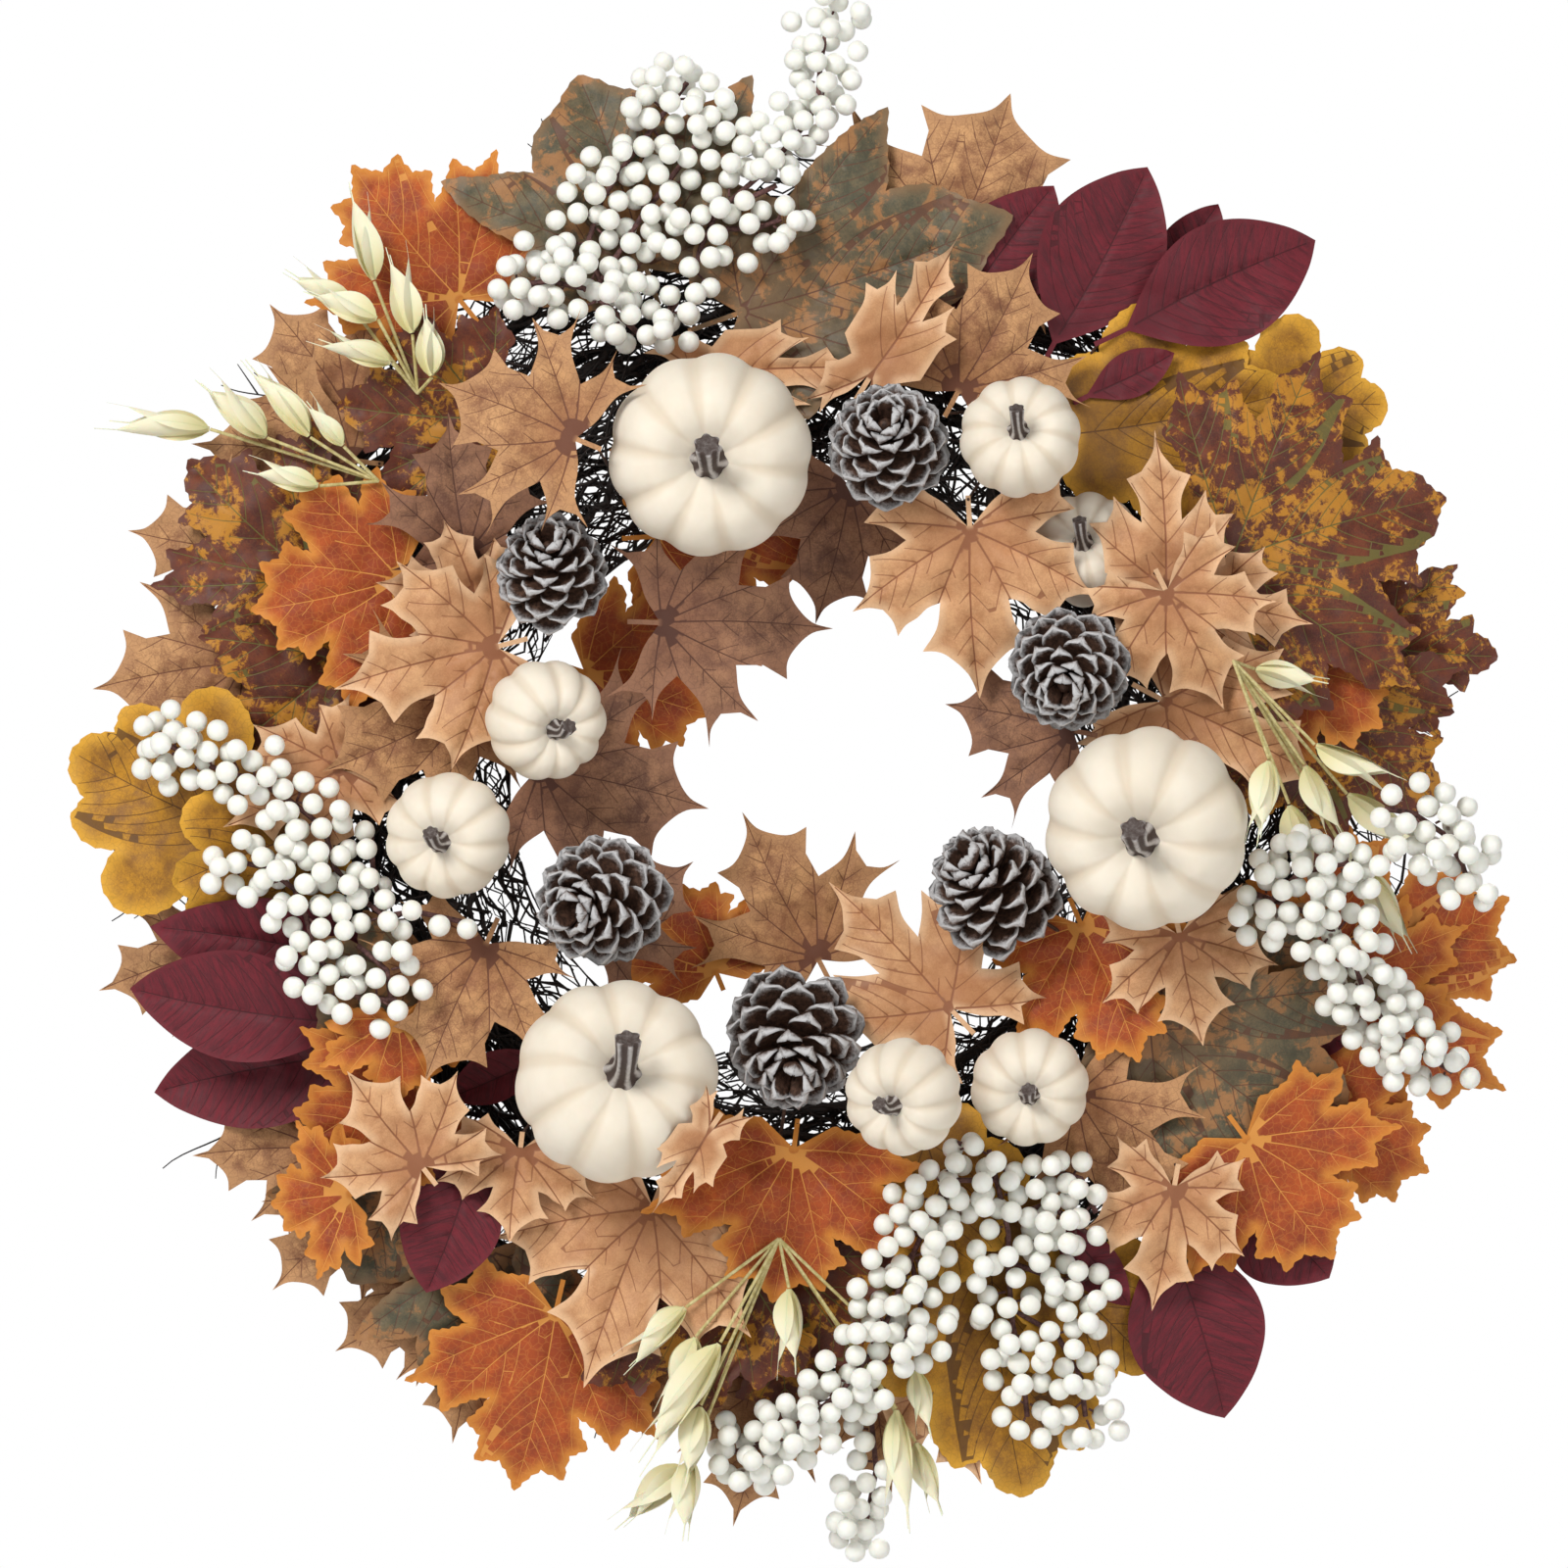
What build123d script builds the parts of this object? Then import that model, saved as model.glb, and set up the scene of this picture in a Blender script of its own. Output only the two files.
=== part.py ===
"""Harvest door wreath: artificial leaves, pumpkins, cones, berries and oats on a ring of twigs.

Working frame, in millimetres: the ring's centre is (0, 0, 0), X runs to the right, Z up, and the
front of the wreath faces -Y, so the door is on the +Y side. Every node is shifted on export, so that
the origin of the finished part is the seat of the hook, inside the top of the hanging loop.

The decoration is laid up as on the bench. Each leaf is a thin flat plate that leans on what is
already there, and a height map of the pile keeps each piece clear of the ones behind it.
"""
from build123d import *
import math
import os
import random

import numpy as np

# ------------------------------------------------------------------ ring of twigs
ring_radius = 182.0         # middle of the bundle of canes
frame_wire_radius = 2.5     # steel ring at the back that carries everything
cane_radius = 5.0
cane_pitch = 21.0           # from one lane of canes to the next
front_lanes = 5
back_lanes = 4
front_cane_y = -8.0
back_cane_y = 8.0
canes_per_lane = 9
cane_joint_gap = 4.0        # free length between the ends of two canes in a lane
wrap_count = 12
wrap_wire_radius = 2.0
wrap_clearance = 1.0
wrap_turn_offset = 7.0      # degrees, so no wrap lies under a pick
wrap_to_leaf_gap = 0.6
lane_stagger = 0.38         # of a cane's length, from one lane's joints to the next lane's
stray_twig_radius = 0.8
stray_twig_y = 14.0
stray_twig_gap = 0.5        # from the outermost cane to where a stray twig starts
stray_twig_wave = 2.0       # how far it wanders to the front and back

# ------------------------------------------------------------------ hanger
loop_wire_radius = 1.25
loop_inner_width = 28.0
loop_height = 24.0          # from the axis of its bar to the middle of the wire at its top
loop_corner_radius = 3.75
clip_width = 16.0
clip_wall = 3.0
bar_running_clearance = 0.08
loop_to_wrap_gap = 1.0
bar_cover = 2.0             # steel between the saddle's wall and the bore of the bar
saddle_lip = 0.4            # how far the clip reaches in front of the frame ring
clip_to_cane_gap = 0.1
door_clearance = 3.0        # from the back of the loop to the door

# ------------------------------------------------------------------ decoration
layout_radius = 182.0       # the ring radius that the places below were chosen for
leaf_thickness = 0.8
pile_gap = 0.8              # free space between a piece and what it lies on
petiole_width = 1.8
petiole_share = 0.2         # of the leaf's length
steepest_lean = 0.20        # rise over run of the most tilted leaf
deepest_leaf_y = 8.0
bed_following = 0.6         # how much of the slope under it a leaf takes
own_lean = 0.035            # slope that each leaf may have of its own
shortest_bowed_margin = 0.14  # of the leaf's length
leaf_wire_radius = 0.6
wire_hole_clearance = 0.5

large_pumpkin_radius = 42.0
large_pumpkin_height = 56.0
small_pumpkin_radius = 25.0
small_pumpkin_height = 35.0
pumpkin_ribs = 10
pumpkin_profile = ((-0.40, 0.30), (-0.49, 0.55), (-0.38, 0.82), (-0.16, 0.975), (0.08, 0.985),
                   (0.30, 0.86), (0.42, 0.62), (0.40, 0.34), (0.34, 0.18))  # shares of height, radius
rib_depth = 0.045           # of the radius, and less inside the dimples
dimple_rib_depth = 0.02
dimple_size = 0.5
pick_radius = 1.5
tie_end_y = 0.0             # how deep the picks and wires reach into the bundle
stalk_foot_share = 0.36     # of the height, from the middle: the floor of the dimple
stalk_length_share = 0.62   # of the pumpkin's radius
stalk_radius_share = 0.16
stalk_sides = 7
stalk_profile = ((0.0, 1.25, 0.0), (0.25, 0.85, 0.03), (0.6, 0.72, 0.12), (1.0, 0.8, 0.34))
stalk_end_tilt = 0.3        # rise over run of the cut at its end
cone_radius = 27.0
cone_height = 50.0
cone_tiers = 7
cone_wire_radius = 0.8
berry_radius = 4.6
berry_gap = 0.25
berry_stem_radius = 1.1
berry_pedicel_radius = 0.5
stem_drop = 0.35            # the most a stem sinks towards the ring, for its length
husk_radius = 3.4
oat_stem_radius = 0.7
clear_of_root = 16.0        # where the stalks of an oat spray have parted
fit_depth = 0.4             # how far a wire, stalk or pedicel is sunk into the piece it holds
tie_gap = 0.3               # between two ties
tie_to_ornament_gap = 0.8
tie_to_petiole_gap = 1.0
petiole_depth = 6.0         # how near in y a tie and a petiole count as neighbours
pick_to_wrap_gap = 1.0

seed = 11
spread = ring_radius / layout_radius
frame_ring_y = back_cane_y + cane_radius + clip_to_cane_gap + saddle_lip + frame_wire_radius
bundle_half_width = (front_lanes - 1) / 2 * cane_pitch + cane_radius
wrap_front_y = front_cane_y - cane_radius - wrap_clearance - 2 * wrap_wire_radius
wrap_back_y = frame_ring_y + frame_wire_radius + wrap_clearance + 2 * wrap_wire_radius
bundle_front_y = wrap_front_y - wrap_to_leaf_gap
loop_bar_y = wrap_back_y + loop_to_wrap_gap + loop_wire_radius
loop_bar_z = ring_radius + frame_wire_radius + clip_wall + loop_wire_radius + bar_cover
hook_seat = Vector(0, loop_bar_y, loop_bar_z + loop_height - loop_wire_radius)

ornament_sizes = {"large_pumpkin": (large_pumpkin_radius, large_pumpkin_height),
                  "small_pumpkin": (small_pumpkin_radius, small_pumpkin_height),
                  "pine_cone": (cone_radius, cone_height)}

# ------------------------------------------------------------------ leaf outlines
# Half of each outline, from the petiole to the tip, in lengths of the leaf: across, along.
# The other half is its mirror image, and one point in the middle of a long margin bows it.
outlines = {
    "maple": [(0.14, -0.16), (0.32, -0.36), (0.40, -0.27), (0.58, -0.34), (0.54, -0.16), (0.62, -0.08),
              (0.38, 0.04), (0.60, 0.12), (0.60, 0.24), (0.72, 0.44), (0.54, 0.44), (0.46, 0.60),
              (0.34, 0.50), (0.20, 0.42), (0.32, 0.70), (0.17, 0.74), (0.0, 1.0)],
    "sharp": [(0.16, -0.10), (0.50, -0.32), (0.46, -0.10), (0.64, -0.04), (0.34, 0.10), (0.80, 0.30),
              (0.58, 0.36), (0.62, 0.58), (0.26, 0.44), (0.34, 0.74), (0.14, 0.78), (0.0, 1.0)],
    "scalloped": [(0.20, -0.18), (0.40, -0.16), (0.52, -0.24), (0.56, -0.06), (0.72, -0.02), (0.64, 0.10),
                  (0.50, 0.15), (0.72, 0.24), (0.68, 0.36), (0.80, 0.54), (0.60, 0.52), (0.54, 0.66),
                  (0.42, 0.58), (0.27, 0.52), (0.38, 0.68), (0.28, 0.74), (0.28, 0.88), (0.13, 0.85),
                  (0.0, 1.0)],
    "vine": [(0.24, -0.14), (0.46, -0.06), (0.68, 0.09), (0.58, 0.20), (0.48, 0.27), (0.68, 0.46),
             (0.80, 0.72), (0.60, 0.67), (0.36, 0.61), (0.30, 0.78), (0.15, 0.88), (0.0, 1.0)],
    "toothed": [(0.24, -0.14), (0.44, -0.09), (0.60, -0.15), (0.84, 0.0), (0.70, 0.11), (0.74, 0.24),
                (0.54, 0.27), (0.70, 0.42), (0.76, 0.64), (0.58, 0.60), (0.52, 0.72), (0.38, 0.62),
                (0.26, 0.59), (0.34, 0.78), (0.18, 0.80), (0.13, 0.91), (0.0, 1.0)],
    "blunt": [(0.24, -0.10), (0.42, 0.00), (0.44, 0.18), (0.60, 0.26), (0.68, 0.44), (0.58, 0.58),
              (0.38, 0.58), (0.42, 0.74), (0.33, 0.86), (0.20, 0.84), (0.12, 0.96), (0.0, 1.0)],
    "oval": [(0.235 * math.sin(math.pi * t / 9) ** 0.8, t / 9) for t in range(1, 10)],
}
margin_bow = {"maple": -0.10, "sharp": -0.13, "scalloped": -0.05, "vine": 0.05, "toothed": -0.08,
              "blunt": 0.08, "oval": 0.03}
leaf_shapes = {"tan": "sharp", "taupe": "sharp", "peach": "maple", "rust": "scalloped", "olive": "vine",
               "mottled": "toothed", "mustard": "blunt", "magnolia": "oval"}

# ------------------------------------------------------------------ places, back to front
# A leaf: kind, side, where its blade begins, where its tip is, and how broad it is for its length.
# An ornament: kind, place, centre, size over its nominal one, the way its stalk or tip leans as
# degrees anticlockwise from +X, and how far it leans that way from straight out, in degrees.
# All points are (x, z) on a ring of layout_radius.
pile_order = [
    ("tan", "left", (-180, 155), (-210, 195), 1.0),
    ("tan", "left", (-178, 133), (-240, 140), 0.8),
    ("tan", "left", (-218, 96), (-267, 104), 0.9),
    ("tan", "left", (-222, 50), (-281, 40), 0.95),
    ("tan", "left", (-236, -30), (-282, -20), 0.85),
    ("tan", "left", (-232, -68), (-279, -84), 0.8),
    ("tan", "lower", (-190, -150), (-240, -153), 0.8),
    ("tan", "lower", (-172, -172), (-208, -206), 0.85),
    ("tan", "lower", (-144, -208), (-182, -232), 0.95),
    ("tan", "lower", (-128, -218), (-136, -268), 0.75),
    ("tan", "lower", (-50, -230), (-58, -266), 0.9),
    ("tan", "lower", (-8, -248), (-20, -302), 0.75),
    ("tan", "lower", (38, -246), (44, -290), 0.7),
    ("peach", "right", (62, -240), (80, -285), 0.8),
    ("tan", "right", (70, 222), (92, 281), 1.35),
    ("magnolia", "right", (155, 198), (178, 237), 1.1),
    ("magnolia", "right", (68, 186), (108, 242), 1.15),
    ("rust", "left", (-134, 200), (-175, 251), 0.85),
    ("olive", "left", (-57, 213), (-83, 287), 0.95),
    ("olive", "right", (-17, 194), (86, 231), 0.6),
    ("mottled", "right", (238, 58), (290, 53), 0.8),
    ("mottled", "right", (212, 34), (266, -6), 0.9),
    ("rust", "right", (206, 48), (243, 25), 1.0),
    ("mottled", "left", (-195, 85), (-242, 130), 0.85),
    ("mottled", "left", (-180, 50), (-226, 13), 0.9),
    ("mustard", "left", (-219, -22), (-288, 11), 0.85),
    ("mustard", "left", (-194, -20), (-240, -60), 0.9),
    ("peach", "left", (-182, 6), (-226, -16), 0.8),
    ("mustard", "right", (184, 152), (244, 156), 0.85),
    ("mustard", "right", (120, 144), (201, 160), 0.75),
    ("rust", "right", (222, -92), (294, -50), 0.9),
    ("rust", "right", (232, -80), (270, -108), 1.1),
    ("rust", "right", (210, -134), (262, -158), 0.95),
    ("magnolia", "right", (180, -52), (224, -98), 1.0),
    ("magnolia", "right", (186, -96), (228, -106), 1.2),
    ("olive", "left", (-152, -160), (-176, -202), 1.1),
    ("olive", "left", (-121, -192), (-136, -252), 0.8),
    ("olive", "left", (-108, -206), (-84, -206), 1.3),
    ("rust", "left", (-94, -218), (-110, -286), 0.85),
    ("mottled", "right", (0, -196), (2, -262), 0.85),
    ("mottled", "left", (-12, -206), (-78, -242), 0.6),
    ("mustard", "right", (84, -178), (98, -286), 0.66),
    ("mustard", "right", (108, -198), (149, -238), 0.8),
    ("magnolia", "right", (112, -180), (140, -212), 0.9),
    ("magnolia", "right", (186, -166), (222, -201), 1.7),
    ("magnolia", "right", (158, -186), (180, -256), 1.45),
    ("magnolia", "left", (-150, -78), (-252, -60), 0.75),
    ("magnolia", "left", (-168, -110), (-253, -126), 0.98),
    ("magnolia", "left", (-178, -98), (-262, -85), 1.0),
    ("olive", "left", (-148, -80), (-188, -106), 1.0),
    ("magnolia", "left", (-100, -112), (-136, -128), 1.0),
    ("rust", "left", (-150, -122), (-196, -148), 0.9),
    ("rust", "left", (-158, -96), (-156, -126), 1.2),
    ("rust", "left", (-178, -168), (-208, -172), 1.2),
    ("small_pumpkin", "right", (124, 96), 0.96, 120, 16),
    ("rust", "left", (-158, 84), (-214, 72), 1.0),
    ("mottled", "left", (-122, 150), (-179, 155), 0.85),
    ("tan", "left", (-128, 34), (-185, 7), 0.9),
    ("rust", "left", (-52, 102), (16, 106), 0.9),
    ("rust", "left", (-82, 46), (-34, 30), 1.0),
    ("taupe", "inner", (-100, 6), (-36, -9), 0.95),
    ("rust", "left", (-28, -78), (-42, -44), 1.2),
    ("taupe", "inner", (-76, -62), (-40, -34), 0.9),
    ("magnolia", "right", (126, 160), (158, 176), 1.0),
    ("magnolia", "right", (112, 183), (147, 249), 1.3),
    ("magnolia", "right", (143, 188), (214, 222), 1.2),
    ("tan", "right", (72, 162), (100, 214), 0.95),
    ("mottled", "right", (184, 92), (266, 116), 0.98),
    ("peach", "right", (172, 74), (213, 66), 0.8),
    ("peach", "right", (156, 34), (218, 2), 0.72),
    ("olive", "right", (170, -74), (224, -96), 0.85),
    ("olive", "right", (150, -96), (227, -153), 0.82),
    ("rust", "right", (190, -146), (224, -192), 1.05),
    ("tan", "right", (120, -128), (157, -178), 0.85),
    ("rust", "right", (122, -58), (144, -110), 0.85),
    ("magnolia", "left", (-126, -150), (-145, -204), 1.35),
    ("taupe", "inner", (27, 122), (14, 70), 0.9),
    ("taupe", "inner", (118, 22), (70, 32), 1.0),
    ("mustard", "right", (56, -140), (72, -200), 0.8),
    ("peach", "right", (-32, 168), (34, 170), 0.4),
    ("peach", "right", (36, 168), (70, 222), 0.42),
    ("peach", "left", (-54, -174), (-80, -242), 0.95),
    ("taupe", "inner", (-130, 94), (-137, 148), 0.8),
    ("peach", "left", (-126, 76), (-164, 82), 0.95),
    ("peach", "left", (-118, 56), (-179, 40), 0.85),
    ("taupe", "inner", (-50, 66), (15, 64), 0.85),
    ("tan", "lower", (-122, -66), (-145, -118), 0.95),
    ("tan", "right", (14, -72), (-15, -16), 0.85),
    ("peach", "right", (68, -92), (22, -44), 0.72),
    ("peach", "right", (76, 104), (80, 40), 0.95),
    ("peach", "right", (156, 80), (152, 140), 0.6),
    ("peach", "right", (156, 78), (178, 34), 0.95),
    ("rust", "right", (4, -150), (-4, -208), 1.1),
    ("peach", "left", (-108, -150), (-112, -185), 1.15),
    ("peach", "left", (-148, -156), (-176, -120), 0.95),
    ("peach", "right", (162, -62), (171, -104), 1.05),
    ("peach", "right", (160, -166), (152, -213), 0.85),
    ("pine_cone", "top", (42, 141), 1.0, 100, 20),
    ("pine_cone", "upper_left", (-95, 90), 0.92, 95, 30),
    ("pine_cone", "upper_right", (115, 44), 1.0, 250, 18),
    ("pine_cone", "right", (82, -40), 1.04, 130, 40),
    ("pine_cone", "left", (-78, -49), 1.06, 200, 24),
    ("pine_cone", "bottom", (4, -108), 1.14, 265, 30),
    ("large_pumpkin", "top", (-30, 134), 1.0, 262, 8),
    ("large_pumpkin", "right", (147, -18), 1.0, 235, 14),
    ("large_pumpkin", "left", (-68, -121), 1.0, 60, 14),
    ("small_pumpkin", "top_right", (96, 141), 1.0, 110, 12),
    ("small_pumpkin", "left", (-97, 26), 1.0, 320, 26),
    ("small_pumpkin", "far_left", (-137, -21), 1.04, 220, 16),
    ("small_pumpkin", "bottom", (48.5, -127), 0.97, 215, 26),
    ("small_pumpkin", "bottom_right", (100.5, -124), 0.98, 260, 12),
    ("tan", "left", (-85, 140), (-136, 161), 1.0),
    ("peach", "left", (-30, -140), (-52, -172), 0.45),
]

# A berry spray: its main stem from the ring outwards, then its side stems.
berry_sprays = {
    "berries_top_left": [[(-75, 205), (-81, 221), (-75, 240), (-66, 254), (-51, 274), (-40, 289)],
                         [(-75, 207), (-58, 234), (-51, 243), (-43, 254), (-34, 266), (-29, 277)]],
    "berries_top": [[(-37, 209), (-34, 221), (-28, 234), (-18, 243), (-9, 251), (0, 261), (9, 272),
                     (14, 281), (15, 297), (18, 314)],
                    [(-30, 228), (-12, 228), (-1, 232)], [(-28, 234), (-3, 246)]],
    "berries_upper_left": [[(-112, 204), (-96, 206), (-82, 203), (-70, 194), (-60, 185), (-51, 186),
                            (-44, 198)]],
    "berries_left": [[(-128, -57), (-151, -52), (-163, -54), (-174, -46), (-184, -34), (-188, -18),
                      (-203, -6), (-215, 1), (-234, 7), (-254, 17)],
                     [(-163, -54), (-168, -38), (-169, -21)]],
    "berries_lower_left": [[(-158, -88), (-172, -88), (-185, -78), (-192, -68), (-195, -54),
                            (-200, -43), (-212, -34), (-228, -31)],
                           [(-160, -90), (-162, -76), (-174, -66)]],
    "berries_right": [[(190, -44), (212, -52), (230, -64), (238, -88), (252, -104), (274, -118)],
                      [(196, -50), (210, -36), (230, -32)]],
    "berries_far_right": [[(244, -10), (256, -12), (268, -20), (276, -32), (280, -44)]],
    "berries_bottom_right": [[(84, -150), (88, -166), (92, -184), (92, -200), (94, -222), (98, -240),
                              (100, -260)],
                             [(90, -158), (110, -158), (122, -162), (128, -176)],
                             [(92, -178), (108, -172), (124, -184)],
                             [(92, -196), (108, -202), (122, -206)],
                             [(94, -216), (112, -226), (122, -244), (124, -260)]],
    "berries_bottom": [[(72, -146), (64, -168), (54, -190), (46, -210), (38, -230), (24, -248),
                        (8, -262), (-10, -272), (-28, -276)],
                       [(66, -162), (78, -162)], [(52, -194), (56, -214), (46, -234)],
                       [(24, -248), (36, -262), (38, -282), (34, -304)]],
}

# An oat spray: where its stem leaves the ring, and the base and tip of each husk.
oat_sprays = {
    "oats_upper_left": ((-150, 160), [((-176, 194), (-207, 216)), ((-168, 206), (-176, 248)),
                                      ((-166, 190), (-198, 204)), ((-152, 184), (-162, 222)),
                                      ((-160, 172), (-195, 186)), ((-144, 166), (-146, 198))]),
    "oats_left": ((-166, 124), [((-236, 146), (-284, 152)), ((-212, 142), (-242, 168)),
                                ((-194, 142), (-222, 178)), ((-190, 122), (-222, 130)),
                                ((-180, 138), (-196, 160))]),
    "oats_right": ((183, 50), [((192, 47), (226, 40)), ((216, 16), (254, -4)), ((230, -4), (266, -32)),
                               ((196, 10), (190, -26)), ((206, -8), (216, -46)),
                               ((226, -22), (240, -44)), ((238, -34), (258, -74)),
                               ((212, 8), (228, -26))]),
    "oats_bottom": ((-2, -186), [((-40, -214), (-68, -240)), ((-36, -226), (-50, -262)),
                                 ((-26, -228), (-64, -282)), ((-34, -254), (-42, -290)),
                                 ((-40, -280), (-72, -306)), ((-38, -276), (-44, -312)),
                                 ((2, -206), (2, -246)), ((54, -240), (60, -270)),
                                 ((46, -256), (48, -308)), ((54, -270), (64, -304))]),
}

# A stray twig: where it leaves the ring as degrees anticlockwise from +X, how far it reaches beyond
# the bundle, and how far it drifts round the ring, in degrees.
stray_twigs = [(4, 52, 6), (16, 44, -8), (28, 46, 5), (36, 58, -7), (58, 40, 6), (72, 34, 5),
               (98.5, 58, 4), (112, 62, -5), (121, 54, 6), (134, 44, -6), (141, 56, 5), (160, 50, -7),
               (176, 46, 6), (188.5, 54, 4), (201, 48, -6), (209, 70, 8), (226, 52, -5), (241, 42, 6),
               (256, 50, -6), (281, 46, 7), (297, 40, -5), (311, 38, 6), (326, 44, -7), (344, 52, 5)]


def placed(point):
    """A point of the layout, moved to the ring's real size."""
    return point[0] * spread, point[1] * spread


# ------------------------------------------------------------------ the pile
class Pile:
    """The y of the front of everything laid so far, on a grid over X and Z."""

    cell = 2.0

    def __init__(self):
        reach = (ring_radius + 150) * 1.05
        steps = np.arange(-reach, reach, self.cell)
        self.x, self.z = np.meshgrid(steps, steps)
        radius = np.hypot(self.x, self.z)
        on_bundle = abs(radius - ring_radius) < bundle_half_width + self.cell
        self.front = np.where(on_bundle, bundle_front_y, deepest_leaf_y)

    def inside(self, outline, margin):
        """The cells within margin of a closed outline of (x, z) points."""
        px, pz = outline[:, 0], outline[:, 1]
        near = ((self.x > px.min() - margin) & (self.x < px.max() + margin)
                & (self.z > pz.min() - margin) & (self.z < pz.max() + margin))
        x, z = self.x[near], self.z[near]
        hit = np.zeros(len(x), bool)
        close = np.full(len(x), np.inf)
        for i in range(len(outline)):
            (ax, az), (bx, bz) = outline[i - 1], outline[i]
            if az != bz:
                across = (bx - ax) * (z - az) / (bz - az) + ax
                hit ^= ((az > z) != (bz > z)) & (x < across)
            length = (bx - ax) ** 2 + (bz - az) ** 2
            t = np.clip(((x - ax) * (bx - ax) + (z - az) * (bz - az)) / max(length, 1e-9), 0, 1)
            close = np.minimum(close, np.hypot(x - ax - t * (bx - ax), z - az - t * (bz - az)))
        near[near] = hit | (close < margin)
        return near

    def lay_plate(self, outline, centre, lean):
        """Drops a plate on the pile. Returns its slopes along X and Z and its y at its centre."""
        cells = self.inside(outline, self.cell)
        x, z = self.x[cells] - centre[0], self.z[cells] - centre[1]
        bed = self.front[cells]
        terms = np.stack([x, z, np.ones_like(x)], axis=1)
        slope_x, slope_z, _ = np.linalg.lstsq(terms, bed, rcond=None)[0]
        slope_x, slope_z = slope_x * bed_following + lean[0], slope_z * bed_following + lean[1]
        steep = math.hypot(slope_x, slope_z)
        if steep > steepest_lean:
            slope_x, slope_z = slope_x * steepest_lean / steep, slope_z * steepest_lean / steep
        rise = slope_x * x + slope_z * z
        y = float((bed - rise).min()) - pile_gap - leaf_thickness
        self.front[cells] = np.minimum(bed, y + rise)
        return slope_x, slope_z, y

    def lay_spheroid(self, centre, radius, half_height, axis):
        """Drops a spheroid, with its axis along a unit vector, on the pile. Returns its centre's y."""
        reach = max(radius, half_height) + self.cell
        near = np.hypot(self.x - centre[0], self.z - centre[1]) < reach
        x, z = self.x[near] - centre[0], self.z[near] - centre[1]
        a, b = radius + 0.7 * self.cell, half_height + 0.7 * self.cell
        stretch = 1 / b ** 2 - 1 / a ** 2
        along = axis[0] * x + axis[2] * z
        square = 1 / a ** 2 + stretch * axis[1] ** 2
        linear = stretch * axis[1] * along
        rest = (x ** 2 + z ** 2) / a ** 2 + stretch * along ** 2 - 1
        root = linear ** 2 - square * rest
        hit = root > 0
        back = (-linear[hit] + np.sqrt(root[hit])) / square
        front = (-linear[hit] - np.sqrt(root[hit])) / square
        where = np.zeros_like(near)
        where[near] = hit
        y = float((self.front[where] - back).min()) - pile_gap
        self.front[where] = np.minimum(self.front[where], y + front)
        return y

    def cover(self, points, radius):
        """Raises the pile over balls of a radius at points in space."""
        for x, y, z in points:
            near = np.hypot(self.x - x, self.z - z) < radius + self.cell
            self.front[near] = np.minimum(self.front[near], y - radius)

    def bed(self, point, radius):
        """The foremost y within a radius of a point."""
        near = np.hypot(self.x - point[0], self.z - point[1]) < radius + self.cell
        return float(self.front[near].min())


# ------------------------------------------------------------------ leaves
class Leaf:
    """A leaf laid on the pile: its outline in X and Z, its plane and the line of its petiole."""

    def __init__(self, pile, kind, side, base, tip, broad, lean):
        self.kind, self.node = kind, f"{kind}_leaves_{side}"
        base, tip = placed(base), placed(tip)
        self.length = math.dist(base, tip)
        along = np.array([(tip[0] - base[0]) / self.length, (tip[1] - base[1]) / self.length])
        across = np.array([along[1], -along[0]])
        shape = leaf_shapes[kind]
        half = petiole_width / 2 / self.length
        corners = [(half, -0.02)] + [(u * broad, v) for u, v in outlines[shape]]
        side_points = []
        for i in range(len(corners) - 1):
            side_points.append(corners[i])
            side_points += bowed(corners[i], corners[i + 1], margin_bow[shape] if i else 0.0)
        stem = [(half, -petiole_share)]
        right = stem + side_points + [corners[-1]]
        left = [(-u, v) for u, v in reversed(right[:-1])]
        self.base = np.array(base)
        self.petiole_end = self.base - along * petiole_share * self.length
        self.outline = np.array([self.base + across * u * self.length + along * v * self.length
                                 for u, v in right + left])
        self.centre = self.outline.mean(axis=0)
        self.slope_x, self.slope_z, self.y = pile.lay_plate(self.outline, self.centre, lean)

    def y_at(self, x, z):
        return self.y + self.slope_x * (x - self.centre[0]) + self.slope_z * (z - self.centre[1])

    def solid(self, holes):
        """The plate, with a round opening wherever a wire from a piece in front passes."""
        points = [(x, self.y_at(x, z), z) for x, z in self.outline]
        plate = extrude(Face(Wire.make_polygon(points, close=True)), leaf_thickness, dir=(0, 1, 0))
        for tie in holes:
            plate -= rod(tie.path[0], tie.path[1], tie.radius + wire_hole_clearance)
        return max(plate.solids(), key=lambda solid: solid.volume)


def bowed(start, end, bow):
    """The middle point of a margin between two corners, set off by bow times their distance."""
    (u0, v0), (u1, v1) = start, end
    if math.dist(start, end) < shortest_bowed_margin or not bow:
        return []
    return [((u0 + u1) / 2 + (v1 - v0) * bow, (v0 + v1) / 2 - (u1 - u0) * bow)]


# ------------------------------------------------------------------ plain solids
def rod(start, end, radius):
    """A round bar between two points."""
    axis = Vector(end) - Vector(start)
    return Solid.make_cylinder(radius, axis.length, Plane(origin=start, z_dir=axis))


def bent_rod(points, radius):
    """Straight round bars from point to point, with a ball at each bend."""
    runs = [rod(a, b, radius) for a, b in zip(points, points[1:]) if math.dist(a, b) > 0.01]
    balls = [Pos(*p) * Solid.make_sphere(radius, angle1=-90, angle2=90) for p in points[1:-1]]
    solid = runs[0]
    for ball, run in zip(balls, runs[1:]):
        solid = solid.fuse(ball).fuse(run)
    return solid


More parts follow.
